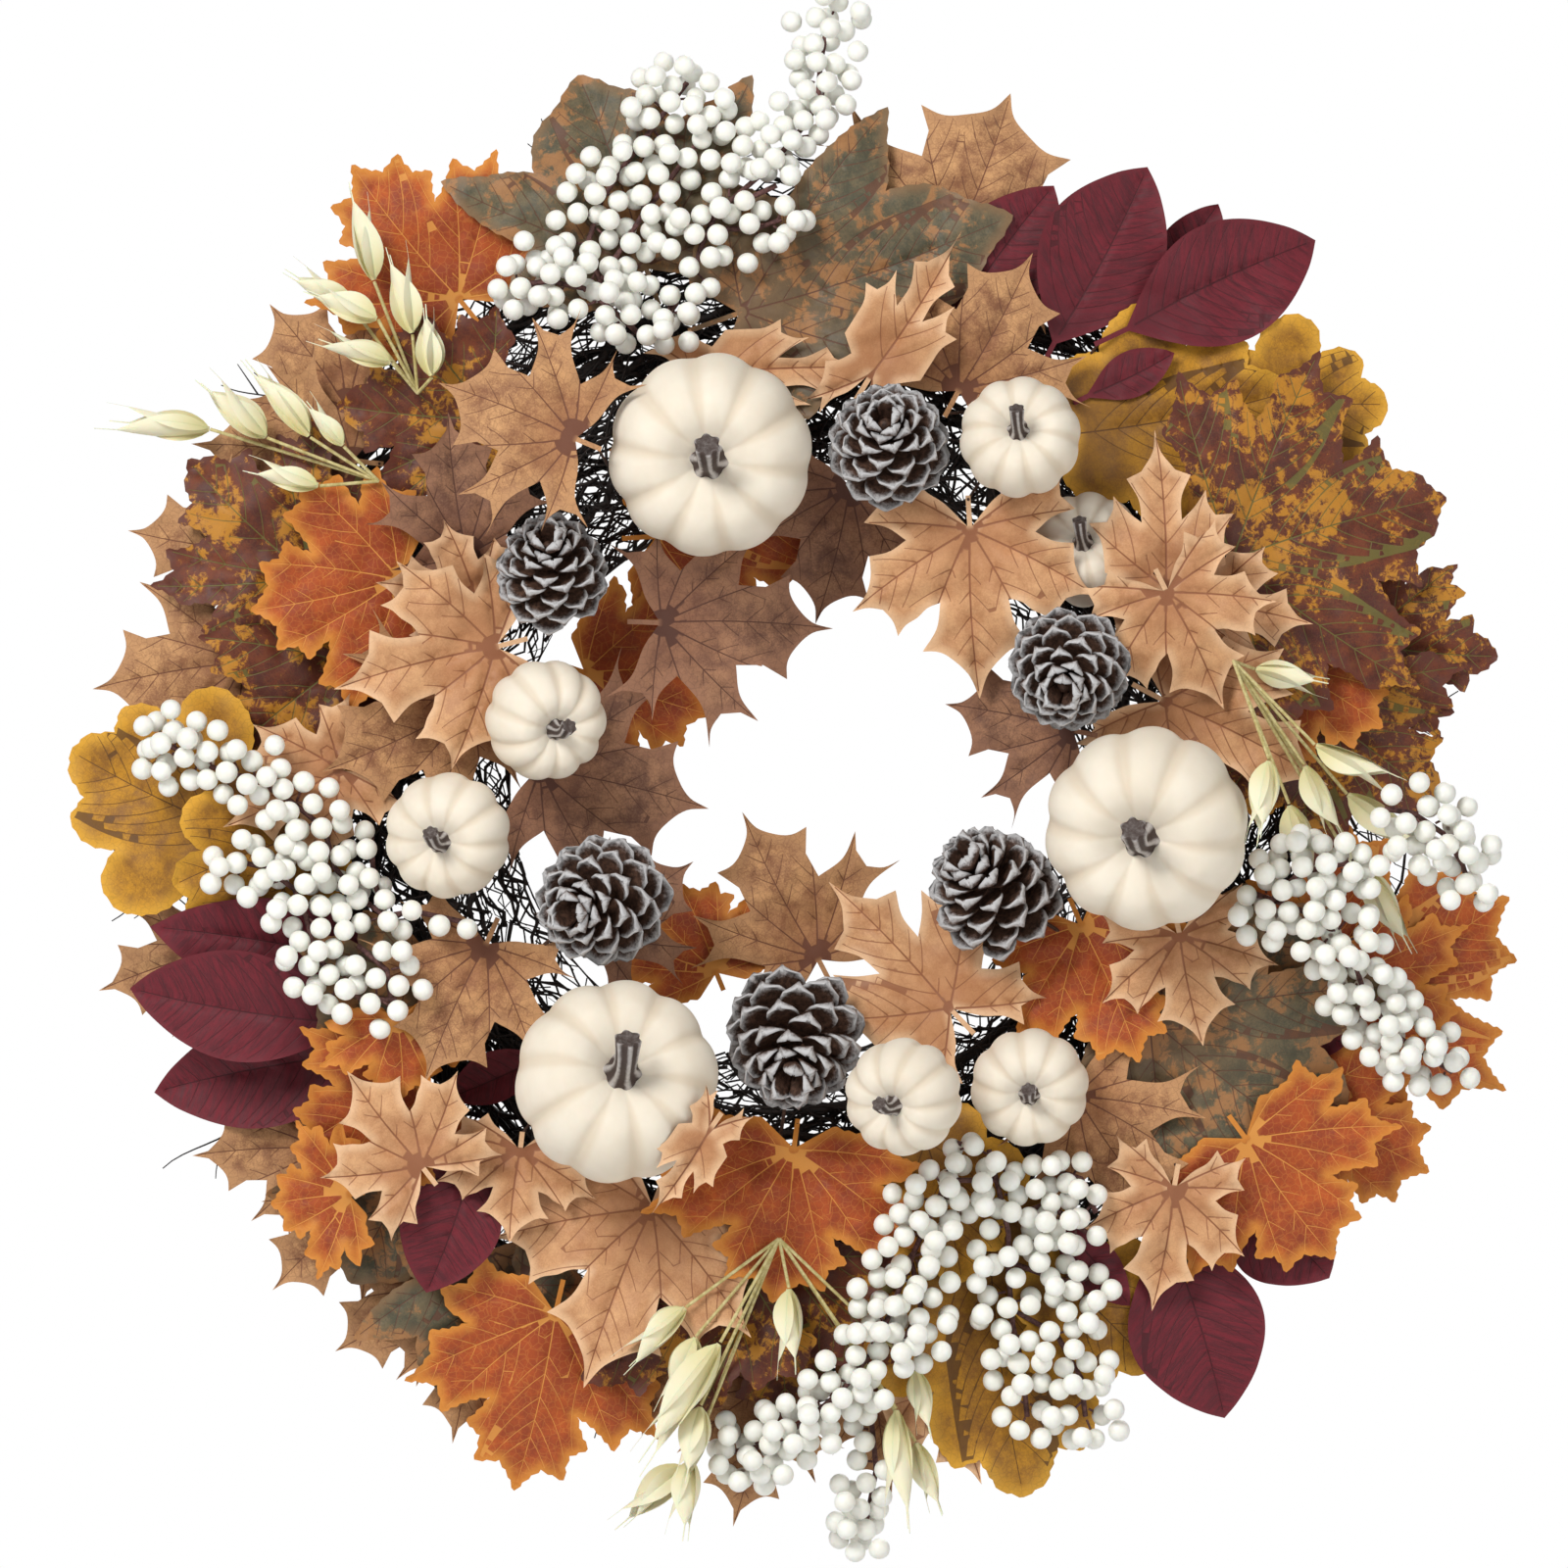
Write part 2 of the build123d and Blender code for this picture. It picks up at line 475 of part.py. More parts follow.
def arc_rod(radius, start, sweep_angle, y, wire_radius):
    """A piece of a torus round the ring's axis, from one angle on, in degrees."""
    a = math.radians(start)
    section = Pos(radius, 0) * Circle(wire_radius)
    solid = revolve(Plane.XZ * section, Axis.Z, sweep_angle)
    return Pos(0, y, 0) * Rot(90, 0, 0) * Rot(0, 0, math.degrees(a)) * solid


def lean_axis(turn, lean):
    """The unit vector that leans from -Y towards an angle in the XZ plane."""
    turn, lean = math.radians(turn), math.radians(lean)
    return (math.sin(lean) * math.cos(turn), -math.cos(lean), math.sin(lean) * math.sin(turn))


# ------------------------------------------------------------------ ring and hanger
def frame_ring():
    return Rot(90, 0, 0) * Pos(0, 0, -frame_ring_y) * Torus(ring_radius, frame_wire_radius)


def canes(lanes, y, pitch_shift):
    """Lanes of bent canes, each in short lengths, with the joints staggered from lane to lane."""
    pieces = []
    for lane in range(lanes):
        radius = ring_radius + (lane - (lanes - 1) / 2) * cane_pitch
        gap = math.degrees(cane_joint_gap / radius)
        step = 360 / canes_per_lane
        for i in range(canes_per_lane):
            start = i * step + (lane + pitch_shift) * step * lane_stagger
            pieces.append(arc_rod(radius, start, step - gap, y, cane_radius))
    return pieces


def wrap():
    """One turn of twig round the bundle, bent round its outermost front canes."""
    low = wrap_front_y + wrap_wire_radius
    high = wrap_back_y - wrap_wire_radius
    width = 2 * (bundle_half_width + wrap_clearance + wrap_wire_radius)
    bend = cane_radius + wrap_clearance + wrap_wire_radius
    path = Pos(0, (low + high) / 2) * RectangleRounded(width, high - low, bend)
    wire = path.faces()[0].outer_wire()
    start = wire @ 0
    section = Plane(origin=start, z_dir=wire % 0) * Circle(wrap_wire_radius)
    return sweep(section, path=wire)


def wraps():
    pieces = []
    turn = wrap()
    for i in range(wrap_count):
        angle = math.radians(i * 360 / wrap_count + wrap_turn_offset)
        centre = (ring_radius * math.cos(angle), 0, ring_radius * math.sin(angle))
        pieces.append(Pos(*centre) * Rot(0, -math.degrees(angle), 0) * turn)
    return pieces


def stray_twig(angle, reach, drift):
    """A thin twig that starts on the outermost cane and curls outwards behind the leaves."""
    start = ring_radius + bundle_half_width + stray_twig_radius + stray_twig_gap
    points = []
    for i in range(6):
        t = i / 5
        turn = math.radians(angle + drift * math.sin(2.6 * t))
        radius = start + reach * t
        points.append((radius * math.cos(turn), stray_twig_y + stray_twig_wave * math.sin(5 * t + angle),
                       radius * math.sin(turn)))
    return bent_rod(points, stray_twig_radius)


def hanger_clip():
    """A saddle on the frame ring, with a flat back and a bore for the loop's bar."""
    low_z = ring_radius - frame_wire_radius - clip_wall
    high_z = loop_bar_z + loop_wire_radius + clip_wall
    low_y = frame_ring_y - frame_wire_radius - saddle_lip
    high_y = loop_bar_y + loop_wire_radius + door_clearance
    block = Pos(0, (low_y + high_y) / 2, (low_z + high_z) / 2) * Box(
        clip_width, high_y - low_y, high_z - low_z)
    block -= Rot(90, 0, 0) * Pos(0, 0, -frame_ring_y) * Torus(ring_radius, frame_wire_radius)
    bore = loop_wire_radius + bar_running_clearance
    block -= rod((-clip_width, loop_bar_y, loop_bar_z), (clip_width, loop_bar_y, loop_bar_z), bore)
    return block


def hanging_loop():
    """A closed wire bail: a straight bar in the clip, two legs and a round top."""
    half = loop_inner_width / 2 + loop_wire_radius
    corner = loop_corner_radius
    straight = loop_height - half
    section = Circle(loop_wire_radius)

    def bend(centre_x, centre_z, radius, start, sweep_angle):
        """Part of a torus in the loop's plane, from an angle on, in degrees."""
        ring = revolve(Plane.XZ * Pos(radius, 0) * section, Axis.Z, sweep_angle)
        return Pos(centre_x, 0, centre_z) * Rot(90, 0, 0) * Rot(0, 0, start) * ring

    pieces = [
        rod((corner - half, 0, 0), (half - corner, 0, 0), loop_wire_radius),
        bend(half - corner, corner, corner, 270, 90),
        rod((half, 0, corner), (half, 0, straight), loop_wire_radius),
        bend(0, straight, half, 0, 180),
        rod((-half, 0, straight), (-half, 0, corner), loop_wire_radius),
        bend(corner - half, corner, corner, 180, 90),
    ]
    return Pos(0, loop_bar_y, loop_bar_z) * pieces[0].fuse(*pieces[1:])


# ------------------------------------------------------------------ ornaments
def pumpkin(radius, height):
    """A squat ribbed pumpkin with its axis along Z and a dimple at each end."""
    sections = []
    for share, size in pumpkin_profile:
        depth = rib_depth if size > dimple_size else dimple_rib_depth
        points = []
        for i in range(4 * pumpkin_ribs):
            turn = 2 * math.pi * i / (4 * pumpkin_ribs)
            r = radius * size * (1 - depth + depth * math.cos(pumpkin_ribs * turn))
            points.append((r * math.cos(turn), r * math.sin(turn), share * height))
        sections.append(Face(Wire([Spline(*points, periodic=True)])))
    return loft(sections)


def stalk(base_radius, length):
    """A dry stalk that flares at its foot and bends to one side."""
    sections = []
    for share, size, shift in stalk_profile:
        place = Plane(origin=(shift * length, 0, share * length), x_dir=(1, 0, 0),
                      z_dir=(stalk_end_tilt * share, 0, 1))
        sections.append(place * RegularPolygon(base_radius * size, stalk_sides))
    return loft(sections)


def pine_cone(radius, height):
    """A cone with its axis along Z, tip up, as tiers of scales round a core."""
    points = [(0, -height / 2)]
    for tier in range(cone_tiers):
        low = -height / 2 + height * (tier + 0.2) / (cone_tiers + 0.6)
        share = (tier + 0.9) / (cone_tiers + 0.6)
        wide = radius * 0.97 * math.sqrt(max(0.0, 1 - (2 * share - 1) ** 2))
        points += [(max(wide * 0.6, 2.0), low), (max(wide, 3.0), low + height * 0.55 / cone_tiers)]
    points.append((0, height / 2 - 0.3))
    outline = Face(Wire.make_polygon([(x, 0, z) for x, z in points], close=True))
    return revolve(outline, Axis.Z)


def husk(base, tip):
    """A closed oat husk, a slender spindle between two points."""
    axis = Vector(tip) - Vector(base)
    length = axis.length
    outline = Wire([
        ThreePointArc((0.35, 0, 0), (husk_radius, 0, 0.30 * length), (0.9, 0, 0.72 * length)),
        Line((0.9, 0, 0.72 * length), (0.3, 0, length)),
        Line((0.3, 0, length), (0, 0, length)),
        Line((0, 0, length), (0, 0, 0)),
        Line((0, 0, 0), (0.35, 0, 0)),
    ])
    return Plane(origin=base, z_dir=axis) * revolve(Face(outline), Axis.Z)


# ------------------------------------------------------------------ laying up
class Ornament:
    """A pumpkin or cone laid on the pile: its size, centre and the way its axis points."""

    def __init__(self, pile, kind, place, centre, size, turn, lean):
        self.kind, self.node = kind, f"{kind}_{place}"
        radius, height = ornament_sizes[kind]
        self.radius, self.height, self.size = radius * size, height * size, size
        x, z = placed(centre)
        self.axis = lean_axis(turn, lean)
        y = pile.lay_spheroid((x, z), self.radius, self.height / 2, self.axis)
        self.centre = (x, y, z)

    def frame(self):
        """The plane across the axis, through the centre."""
        return Plane(origin=Vector(*self.centre), z_dir=Vector(*self.axis))

    def stalk_frame(self):
        """The plane at the floor of the dimple, with its x axis towards the top of the wreath."""
        axis = Vector(*self.axis)
        foot = Vector(*self.centre) + axis * (stalk_foot_share * self.height)
        return Plane(origin=foot, x_dir=Vector(0, 0, 1) - axis * axis.Z, z_dir=axis)


def lay_pile():
    """Lays the leaves and ornaments, back to front, and returns the pile and the pieces."""
    chance = random.Random(seed)
    pile, pieces = Pile(), []
    for kind, *place in pile_order:
        if kind in ornament_sizes:
            pieces.append(Ornament(pile, kind, *place))
        else:
            lean = (chance.uniform(-own_lean, own_lean), chance.uniform(-own_lean, own_lean))
            pieces.append(Leaf(pile, kind, *place, lean))
    return pile, pieces


class Tie:
    """A pick or wire that holds a piece: from the piece, over a knee, into a gap between canes."""

    def __init__(self, start, ring_point, radius):
        knee_y = bundle_front_y - 2 * radius
        self.start, self.radius = start, radius
        self.path = [start, (ring_point[0], knee_y, ring_point[1]), (ring_point[0], tie_end_y, ring_point[1])]

    def samples(self):
        a, b = np.array(self.path[0]), np.array(self.path[1])
        steps = max(2, int(np.linalg.norm(b - a)))
        return [a + (b - a) * i / steps for i in range(steps + 1)]

    def crosses(self, leaf):
        """Whether it passes through a leaf's plate."""
        reach = self.radius + wire_hole_clearance
        return any(abs(p[1] - leaf.y_at(p[0], p[2])) < leaf_thickness + 2 * reach
                   and outline_distance(leaf.outline, p[0], p[2]) < reach for p in self.samples())

    def is_clear(self, behind, ties):
        """Whether it misses the ornaments, the other ties and the petioles of the pieces behind it."""
        room = self.radius + wire_hole_clearance + tie_to_petiole_gap
        for piece in behind:
            if isinstance(piece, Ornament):
                reach = piece.radius + self.radius + tie_to_ornament_gap
                if any(math.dist(p, piece.centre) < reach for p in self.samples()):
                    return False
            else:
                stem = [(*piece.base, 0), (*piece.petiole_end, 0)]
                near = [p for p in self.samples()
                        if gap_to_path((p[0], p[2], 0), stem) < petiole_width / 2 + room]
                if any(abs(p[1] - piece.y_at(p[0], p[2])) < petiole_depth for p in near):
                    return False
        return all(path_gap(self.path, tie.path) > self.radius + tie.radius + tie_gap for tie in ties)

    def solid(self):
        return bent_rod(self.path, self.radius)


def gap_to_path(point, path):
    """The distance from a point to a path of straight runs."""
    best = math.inf
    p = np.array(point)
    for a, b in zip(path, path[1:]):
        a, b = np.array(a), np.array(b)
        t = np.clip((p - a) @ (b - a) / max((b - a) @ (b - a), 1e-9), 0, 1)
        best = min(best, float(np.linalg.norm(p - a - t * (b - a))))
    return best


def path_gap(one, other):
    """The least distance between two short paths, by points along the first."""
    best = math.inf
    for a, b in zip(one, one[1:]):
        a, b = np.array(a), np.array(b)
        steps = max(1, int(np.linalg.norm(b - a) / 1.5))
        best = min([best] + [gap_to_path(a + (b - a) * i / steps, other) for i in range(steps + 1)])
    return best


def outline_distance(outline, x, z):
    """The distance from a point to a closed outline, or 0 inside it."""
    inside = False
    for (ax, az), (bx, bz) in zip(outline, np.roll(outline, -1, axis=0)):
        if (az > z) != (bz > z) and x < (bx - ax) * (z - az) / (bz - az) + ax:
            inside = not inside
    closed = [*outline, outline[0]]
    return 0.0 if inside else gap_to_path((x, z), closed)


def ring_gaps(x, z):
    """Points in the free gaps between lanes of canes, nearest to a point first."""
    turn = math.degrees(math.atan2(z, x))
    radii = [ring_radius + (i + 0.5 - (front_lanes - 1) / 2) * cane_pitch for i in range(front_lanes - 1)]
    points = []
    for shift in (0, 3, -3, 6, -6, 9, -9, 13, -13, 17, -17, 22, -22):
        angle = turn + shift
        between = (angle - wrap_turn_offset) % (360 / wrap_count)
        off_wrap = min(between, 360 / wrap_count - between)
        for radius in radii:
            if math.radians(off_wrap) * radius > wrap_wire_radius + pick_radius + pick_to_wrap_gap:
                points.append((radius * math.cos(math.radians(angle)),
                               radius * math.sin(math.radians(angle))))
    return sorted(points, key=lambda p: math.dist(p, (x, z)))


def tie_ornament(piece, behind, ties):
    """A tie from the heart of an ornament to the ring."""
    radius = cone_wire_radius if piece.kind == "pine_cone" else pick_radius
    x, y, z = piece.centre
    for point in ring_gaps(x, z):
        tie = Tie(piece.centre, point, radius)
        if tie.is_clear(behind, ties):
            return tie
    print("no clear tie for", piece.node)
    return None


def tie_leaf(leaf, behind, ties):
    """A wire straight back from a leaf's petiole, where that is over a gap between canes."""
    for share in (0.95, 0.8, 0.65, 0.5, 0.35, 0.2):
        x, z = leaf.base + (leaf.petiole_end - leaf.base) * share
        start = (x, leaf.y_at(x, z) + leaf_thickness / 2, z)
        nearest = [p for p in ring_gaps(x, z) if math.dist(p, (x, z)) < cane_pitch * 0.6][:2]
        for point in nearest:
            if start[1] > bundle_front_y - 4 * leaf_wire_radius:
                continue
            tie = Tie(start, point, leaf_wire_radius)
            if tie.is_clear(behind, ties):
                return tie
    return None


def resting_path(pile, points, clearance):
    """A stem's points with y added, so that every run between them is clear of the pile."""
    flat = [placed(p) for p in points]
    bed = [math.inf] * len(flat)
    for i in range(len(flat) - 1):
        run = run_points([(flat[i][0], 0, flat[i][1]), (flat[i + 1][0], 0, flat[i + 1][1])])
        for k, p in enumerate(run):
            y = pile.bed((p[0], p[2]), berry_stem_radius)
            share = k / max(1, len(run) - 1)
            if share < 0.75:
                bed[i] = min(bed[i], y)
            if share > 0.25:
                bed[i + 1] = min(bed[i + 1], y)
    order = [(i, i - 1) for i in range(1, len(flat))] + [(i, i + 1) for i in reversed(range(len(flat) - 1))]
    for i, back in order:
        bed[i] = min(bed[i], bed[back] + stem_drop * math.dist(flat[i], flat[back]))
    return [(x, y - clearance, z) for (x, z), y in zip(flat, bed)]


def run_points(path, pitch=2.0):
    points = []
    for a, b in zip(path, path[1:]):
        steps = max(1, int(math.dist(a, b) / pitch))
        points += [tuple(a[k] + (b[k] - a[k]) * i / steps for k in range(3)) for i in range(steps + 1)]
    return points


def lay_berries(pile, paths, chance):
    """Berries packed round the stems, clear of the pile and of each other, each with its pedicel."""
    stems = [resting_path(pile, path, berry_radius * 0.9) for path in paths]
    found, pedicels = [], []
    pitch = 2 * berry_radius + berry_gap
    beside_pedicel = berry_radius + berry_pedicel_radius + 0.15
    for path in stems:
        feet = run_points(path, 1.0)
        for _ in range(len(feet) * 5):
            foot = chance.choice(feet[2:])
            turn, front = chance.uniform(0, 2 * math.pi), chance.uniform(-0.3, 1.0)
            reach = chance.uniform(berry_radius + 1.8, berry_radius * 2 + 1.6)
            flat = reach * math.sqrt(1 - front ** 2)
            berry = (foot[0] + flat * math.cos(turn), foot[1] - reach * front,
                     foot[2] + flat * math.sin(turn))
            if (any(math.dist(berry, other) < pitch for other in found)
                    or pile.bed((berry[0], berry[2]), berry_radius) - pile_gap < berry[1] + berry_radius
                    or any(gap_to_path(berry, p) < berry_radius + berry_stem_radius + 0.2 for p in stems)
                    or any(gap_to_path(berry, line) < beside_pedicel for line in pedicels)
                    or any(gap_to_path(other, [foot, berry]) < beside_pedicel for other in found)):
                continue
            found.append(berry)
            pedicels.append([foot, berry])
    for berry in found:
        pile.cover([berry], berry_radius)
    for path in stems:
        pile.cover(run_points(path), berry_stem_radius)
    return found, pedicels, stems


def pedicel(foot, berry, stems):
    """A short wire from just off the bark of a stem into a berry."""
    foot, aim = np.array(foot), np.array(berry) - np.array(foot)
    length = float(np.linalg.norm(aim))
    aim = aim / length
    off_bark = berry_stem_radius + berry_pedicel_radius + 0.1
    along = 0.0
    while min(gap_to_path(foot + aim * along, stem) for stem in stems) < off_bark:
        along += 0.1
    return rod(tuple(foot + aim * along), tuple(foot + aim * (length - berry_radius + fit_depth)),
               berry_pedicel_radius)


def lay_oats(pile, root, husks):
    """Husks and their stalks, each in front of the husks before it. Returns (base, tip) in space."""
    root = placed(root)
    root_y = pile.bed(root, 2 * oat_stem_radius) - 2 * husk_radius
    start = (root[0], root_y, root[1])
    lines = []
    husks = [(placed(base), placed(tip)) for base, tip in husks]
    for base, tip in sorted(husks, key=lambda line: -math.dist(line[0], root)):
        stalk_run = run_points([(root[0], 0, root[1]), (base[0], 0, base[1])], 3.0)
        y = min(pile.bed((p[0], p[2]), husk_radius) for p in
                run_points([(base[0], 0, base[1]), (tip[0], 0, tip[1])], 3.0)) - husk_radius - pile_gap
        for k, p in enumerate(stalk_run):
            t = k / (len(stalk_run) - 1)
            if t > 0.4:
                room = pile.bed((p[0], p[2]), oat_stem_radius) - oat_stem_radius - pile_gap
                y = min(y, root_y + (room - root_y) / t)
        lines.append(((base[0], y, base[1]), (tip[0], y, tip[1])))
        pile.cover(run_points(lines[-1]), husk_radius)
        pile.cover([p for p in run_points([start, lines[-1][0]])
                    if math.dist(p, start) > clear_of_root], oat_stem_radius)
    return start, lines


# ------------------------------------------------------------------ the nodes
def build_nodes():
    """Every node of the wreath, as a name and its separate solids."""
    nodes = {
        "frame_ring": [frame_ring()],
        "vine_canes_front": canes(front_lanes, front_cane_y, 0.0),
        "vine_canes_back": canes(back_lanes, back_cane_y, 0.5),
        "vine_wraps": wraps(),
        "stray_twigs": [stray_twig(*twig) for twig in stray_twigs],
        "hanger_clip": [hanger_clip()],
        "hanging_loop": [hanging_loop()],
        "large_pumpkin_stalks": [], "small_pumpkin_stalks": [], "pumpkin_picks": [], "cone_wires": [],
        "leaf_wires": [], "berry_stems": [], "oat_stems": [],
    }
    pile, pieces = lay_pile()
    holes = {}
    ties = []
    for i, piece in enumerate(pieces):
        make = tie_ornament if isinstance(piece, Ornament) else tie_leaf
        tie = make(piece, pieces[:i], ties)
        if tie is None:
            continue
        ties.append(tie)
        node = {"pine_cone": "cone_wires", "large_pumpkin": "pumpkin_picks",
                "small_pumpkin": "pumpkin_picks"}.get(piece.kind, "leaf_wires")
        nodes[node].append(tie.solid())
        for k, other in enumerate(pieces[:i]):
            if isinstance(other, Leaf) and tie.crosses(other):
                holes.setdefault(k, []).append(tie)
    shapes = {}
    for i, piece in enumerate(pieces):
        if isinstance(piece, Leaf):
            nodes.setdefault(piece.node, []).append(piece.solid(holes.get(i, [])))
            continue
        key = (piece.kind, piece.size)
        if key not in shapes:
            make = pine_cone if piece.kind == "pine_cone" else pumpkin
            shapes[key] = make(piece.radius, piece.height)
        nodes[piece.node] = [piece.frame() * shapes[key]]
        if piece.kind != "pine_cone":
            dry = stalk(piece.radius * stalk_radius_share, piece.radius * stalk_length_share)
            nodes[f"{piece.kind}_stalks"].append(piece.stalk_frame() * dry)

    for name, (root, husks) in oat_sprays.items():
        start, lines = lay_oats(pile, root, husks)
        nodes[name] = [husk(base, tip) for base, tip in lines]
        stems = [rod(start, base, oat_stem_radius) for base, _ in lines]
        nodes["oat_stems"].append(stems[0].fuse(*stems[1:]))
    chance = random.Random(seed)
    for name, paths in berry_sprays.items():
        found, pedicels, stems = lay_berries(pile, paths, chance)
        nodes[name] = [Pos(*berry) * Sphere(berry_radius) for berry in found]
        wood = [bent_rod(path, berry_stem_radius) for path in stems]
        nodes["berry_stems"] += wood[0].fuse(*wood[1:]).solids()
        nodes["berry_stems"] += [pedicel(foot, berry, stems) for foot, berry in pedicels]
    print("ties:", len(ties), "leaves with holes:", len(holes), "front of the pile:", pile.front.min())
    return nodes


def main():
    os.makedirs("parts", exist_ok=True)
    for name, solids in build_nodes().items():
        shift = Pos(-hook_seat.X, -hook_seat.Y, -hook_seat.Z)
        export_step(Compound(children=[shift * solid for solid in solids], label=name), f"parts/{name}.step")


if __name__ == "__main__":
    main()
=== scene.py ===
"""Harvest door wreath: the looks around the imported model, in metres, in the row frame.

Z is up and the front of the wreath faces -Y. Every place is read from the CAD nodes. A leaf is a
fabric sheet cut to its CAD plate's outline, with veins, teeth and a bend, draped on what lies behind.
"""
import math

import bmesh
import bpy
import numpy as np
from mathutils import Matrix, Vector, noise
from mathutils.geometry import delaunay_2d_cdt


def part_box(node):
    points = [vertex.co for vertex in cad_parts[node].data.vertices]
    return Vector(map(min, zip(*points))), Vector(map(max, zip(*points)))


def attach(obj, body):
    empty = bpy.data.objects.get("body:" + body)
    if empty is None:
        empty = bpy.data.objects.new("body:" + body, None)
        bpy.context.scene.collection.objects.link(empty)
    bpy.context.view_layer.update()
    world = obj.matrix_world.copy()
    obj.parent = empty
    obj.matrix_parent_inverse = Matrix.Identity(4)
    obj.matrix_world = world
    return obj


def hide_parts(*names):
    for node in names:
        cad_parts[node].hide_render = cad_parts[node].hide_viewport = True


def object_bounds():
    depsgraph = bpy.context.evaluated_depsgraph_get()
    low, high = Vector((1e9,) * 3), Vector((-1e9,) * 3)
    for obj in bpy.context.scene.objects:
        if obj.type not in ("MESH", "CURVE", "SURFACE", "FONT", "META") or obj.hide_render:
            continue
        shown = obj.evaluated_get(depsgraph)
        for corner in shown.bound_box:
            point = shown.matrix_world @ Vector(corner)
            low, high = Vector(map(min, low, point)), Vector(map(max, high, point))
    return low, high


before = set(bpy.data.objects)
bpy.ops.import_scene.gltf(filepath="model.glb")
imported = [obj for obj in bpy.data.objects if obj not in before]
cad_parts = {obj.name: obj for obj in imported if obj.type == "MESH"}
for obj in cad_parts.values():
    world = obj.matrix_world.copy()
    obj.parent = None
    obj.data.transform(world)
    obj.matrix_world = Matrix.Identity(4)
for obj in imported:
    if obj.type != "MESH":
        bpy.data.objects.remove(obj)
cad_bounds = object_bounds()

MM = 0.001
seed = 7
golden_angle = math.pi * (3 - math.sqrt(5))

ring_low, ring_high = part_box("frame_ring")
middle = (ring_low + ring_high) / 2
ring_radius = (ring_high.x - ring_low.x) / 2
canes_low, canes_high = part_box("vine_canes_front")
bundle_outer = (canes_high.x - canes_low.x) / 2
bundle_half_width = bundle_outer - ring_radius
bundle_front_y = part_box("vine_wraps")[0].y
bundle_back_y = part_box("vine_wraps")[1].y


# ------------------------------------------------------------------ reading the frame
def node_mesh(name):
    """A CAD node's points and triangles, with the points that share a place joined."""
    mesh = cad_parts[name].data
    points = np.empty(len(mesh.vertices) * 3, np.float32)
    mesh.vertices.foreach_get("co", points)
    points = points.reshape(-1, 3).astype(float)
    mesh.calc_loop_triangles()
    triangles = np.empty(len(mesh.loop_triangles) * 3, np.int32)
    mesh.loop_triangles.foreach_get("vertices", triangles)
    _, first, joined = np.unique(np.round(points, 6), axis=0, return_index=True, return_inverse=True)
    return points[first], joined.ravel()[triangles].reshape(-1, 3)


def solids(name):
    """The separate solids of a CAD node, each as points and triangles."""
    points, triangles = node_mesh(name)
    label = np.arange(len(points))
    while True:
        lowest = label[triangles].min(axis=1)
        spread = label.copy()
        for corner in range(3):
            np.minimum.at(spread, triangles[:, corner], lowest)
        spread = spread[spread]
        if (spread == label).all():
            break
        label = spread
    found = []
    for root in np.unique(label[triangles[:, 0]]):
        mine = triangles[label[triangles[:, 0]] == root]
        used, renumbered = np.unique(mine, return_inverse=True)
        found.append((points[used], renumbered.reshape(-1, 3)))
    return found


def nodes_named(start):
    return sorted(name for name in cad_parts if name.startswith(start))


# ------------------------------------------------------------------ making pieces
def add_piece(name, points, faces, material, replaced, attributes=None):
    """A mesh piece on the wreath's body, with float or vector attributes on its points."""
    mesh = bpy.data.meshes.new(name)
    mesh.from_pydata([tuple(p) for p in points], [], [tuple(int(i) for i in f) for f in faces])
    mesh.update()
    mesh.polygons.foreach_set("use_smooth", np.ones(len(mesh.polygons), bool))
    for key, values in (attributes or {}).items():
        values = np.asarray(values, np.float32)
        if values.ndim == 1:
            mesh.attributes.new(key, "FLOAT", "POINT").data.foreach_set("value", values)
        else:
            mesh.attributes.new(key, "FLOAT_VECTOR", "POINT").data.foreach_set("vector", values.ravel())
    piece = bpy.data.objects.new(name, mesh)
    bpy.context.scene.collection.objects.link(piece)
    mesh.materials.append(material)
    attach(piece, "wreath")
    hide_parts(*replaced)
    return piece


class Pool:
    """Points, faces and attributes of many small shapes that make one piece."""

    def __init__(self):
        self.points, self.faces, self.values, self.count = [], [], {}, 0

    def add(self, points, faces, **values):
        points = np.asarray(points, float)
        self.points.append(points)
        self.faces += [tuple(i + self.count for i in face) for face in faces]
        self.count += len(points)
        for key, value in values.items():
            value = np.asarray(value, float)
            self.values.setdefault(key, []).append(value if value.ndim else np.full(len(points), value))

    def piece(self, name, material, slot, replaced):
        attributes = {key: np.concatenate(parts) for key, parts in self.values.items()}
        return add_piece(name, np.concatenate(self.points), self.faces, material, replaced,
                         attributes=attributes)


def grid_faces(rows, columns, around=False):
    """Quads of a grid of points, row by row, closed round each row if asked."""
    last = columns if around else columns - 1
    return [(r * columns + c, r * columns + (c + 1) % columns,
             (r + 1) * columns + (c + 1) % columns, (r + 1) * columns + c)
            for r in range(rows - 1) for c in range(last)]


def tube(path, radii, sides):
    """A tube with closed ends along a path of points."""
    path = np.asarray(path, float)
    along = np.gradient(path, axis=0)
    along /= np.linalg.norm(along, axis=1)[:, None] + 1e-12
    side = np.cross(along[0], (0.31, 0.87, 0.38))
    side /= np.linalg.norm(side)
    turns = np.arange(sides) * 2 * math.pi / sides
    rings = []
    for point, direction, radius in zip(path, along, radii):
        side = side - direction * (side @ direction)
        side /= np.linalg.norm(side) + 1e-12
        other = np.cross(direction, side)
        rings.append(ring(point, radius, turns, side, other))
    faces = grid_faces(len(path), sides, around=True)
    end = (len(path) - 1) * sides
    faces += [tuple(range(sides))[::-1], tuple(range(end, end + sides))]
    return np.concatenate(rings), faces


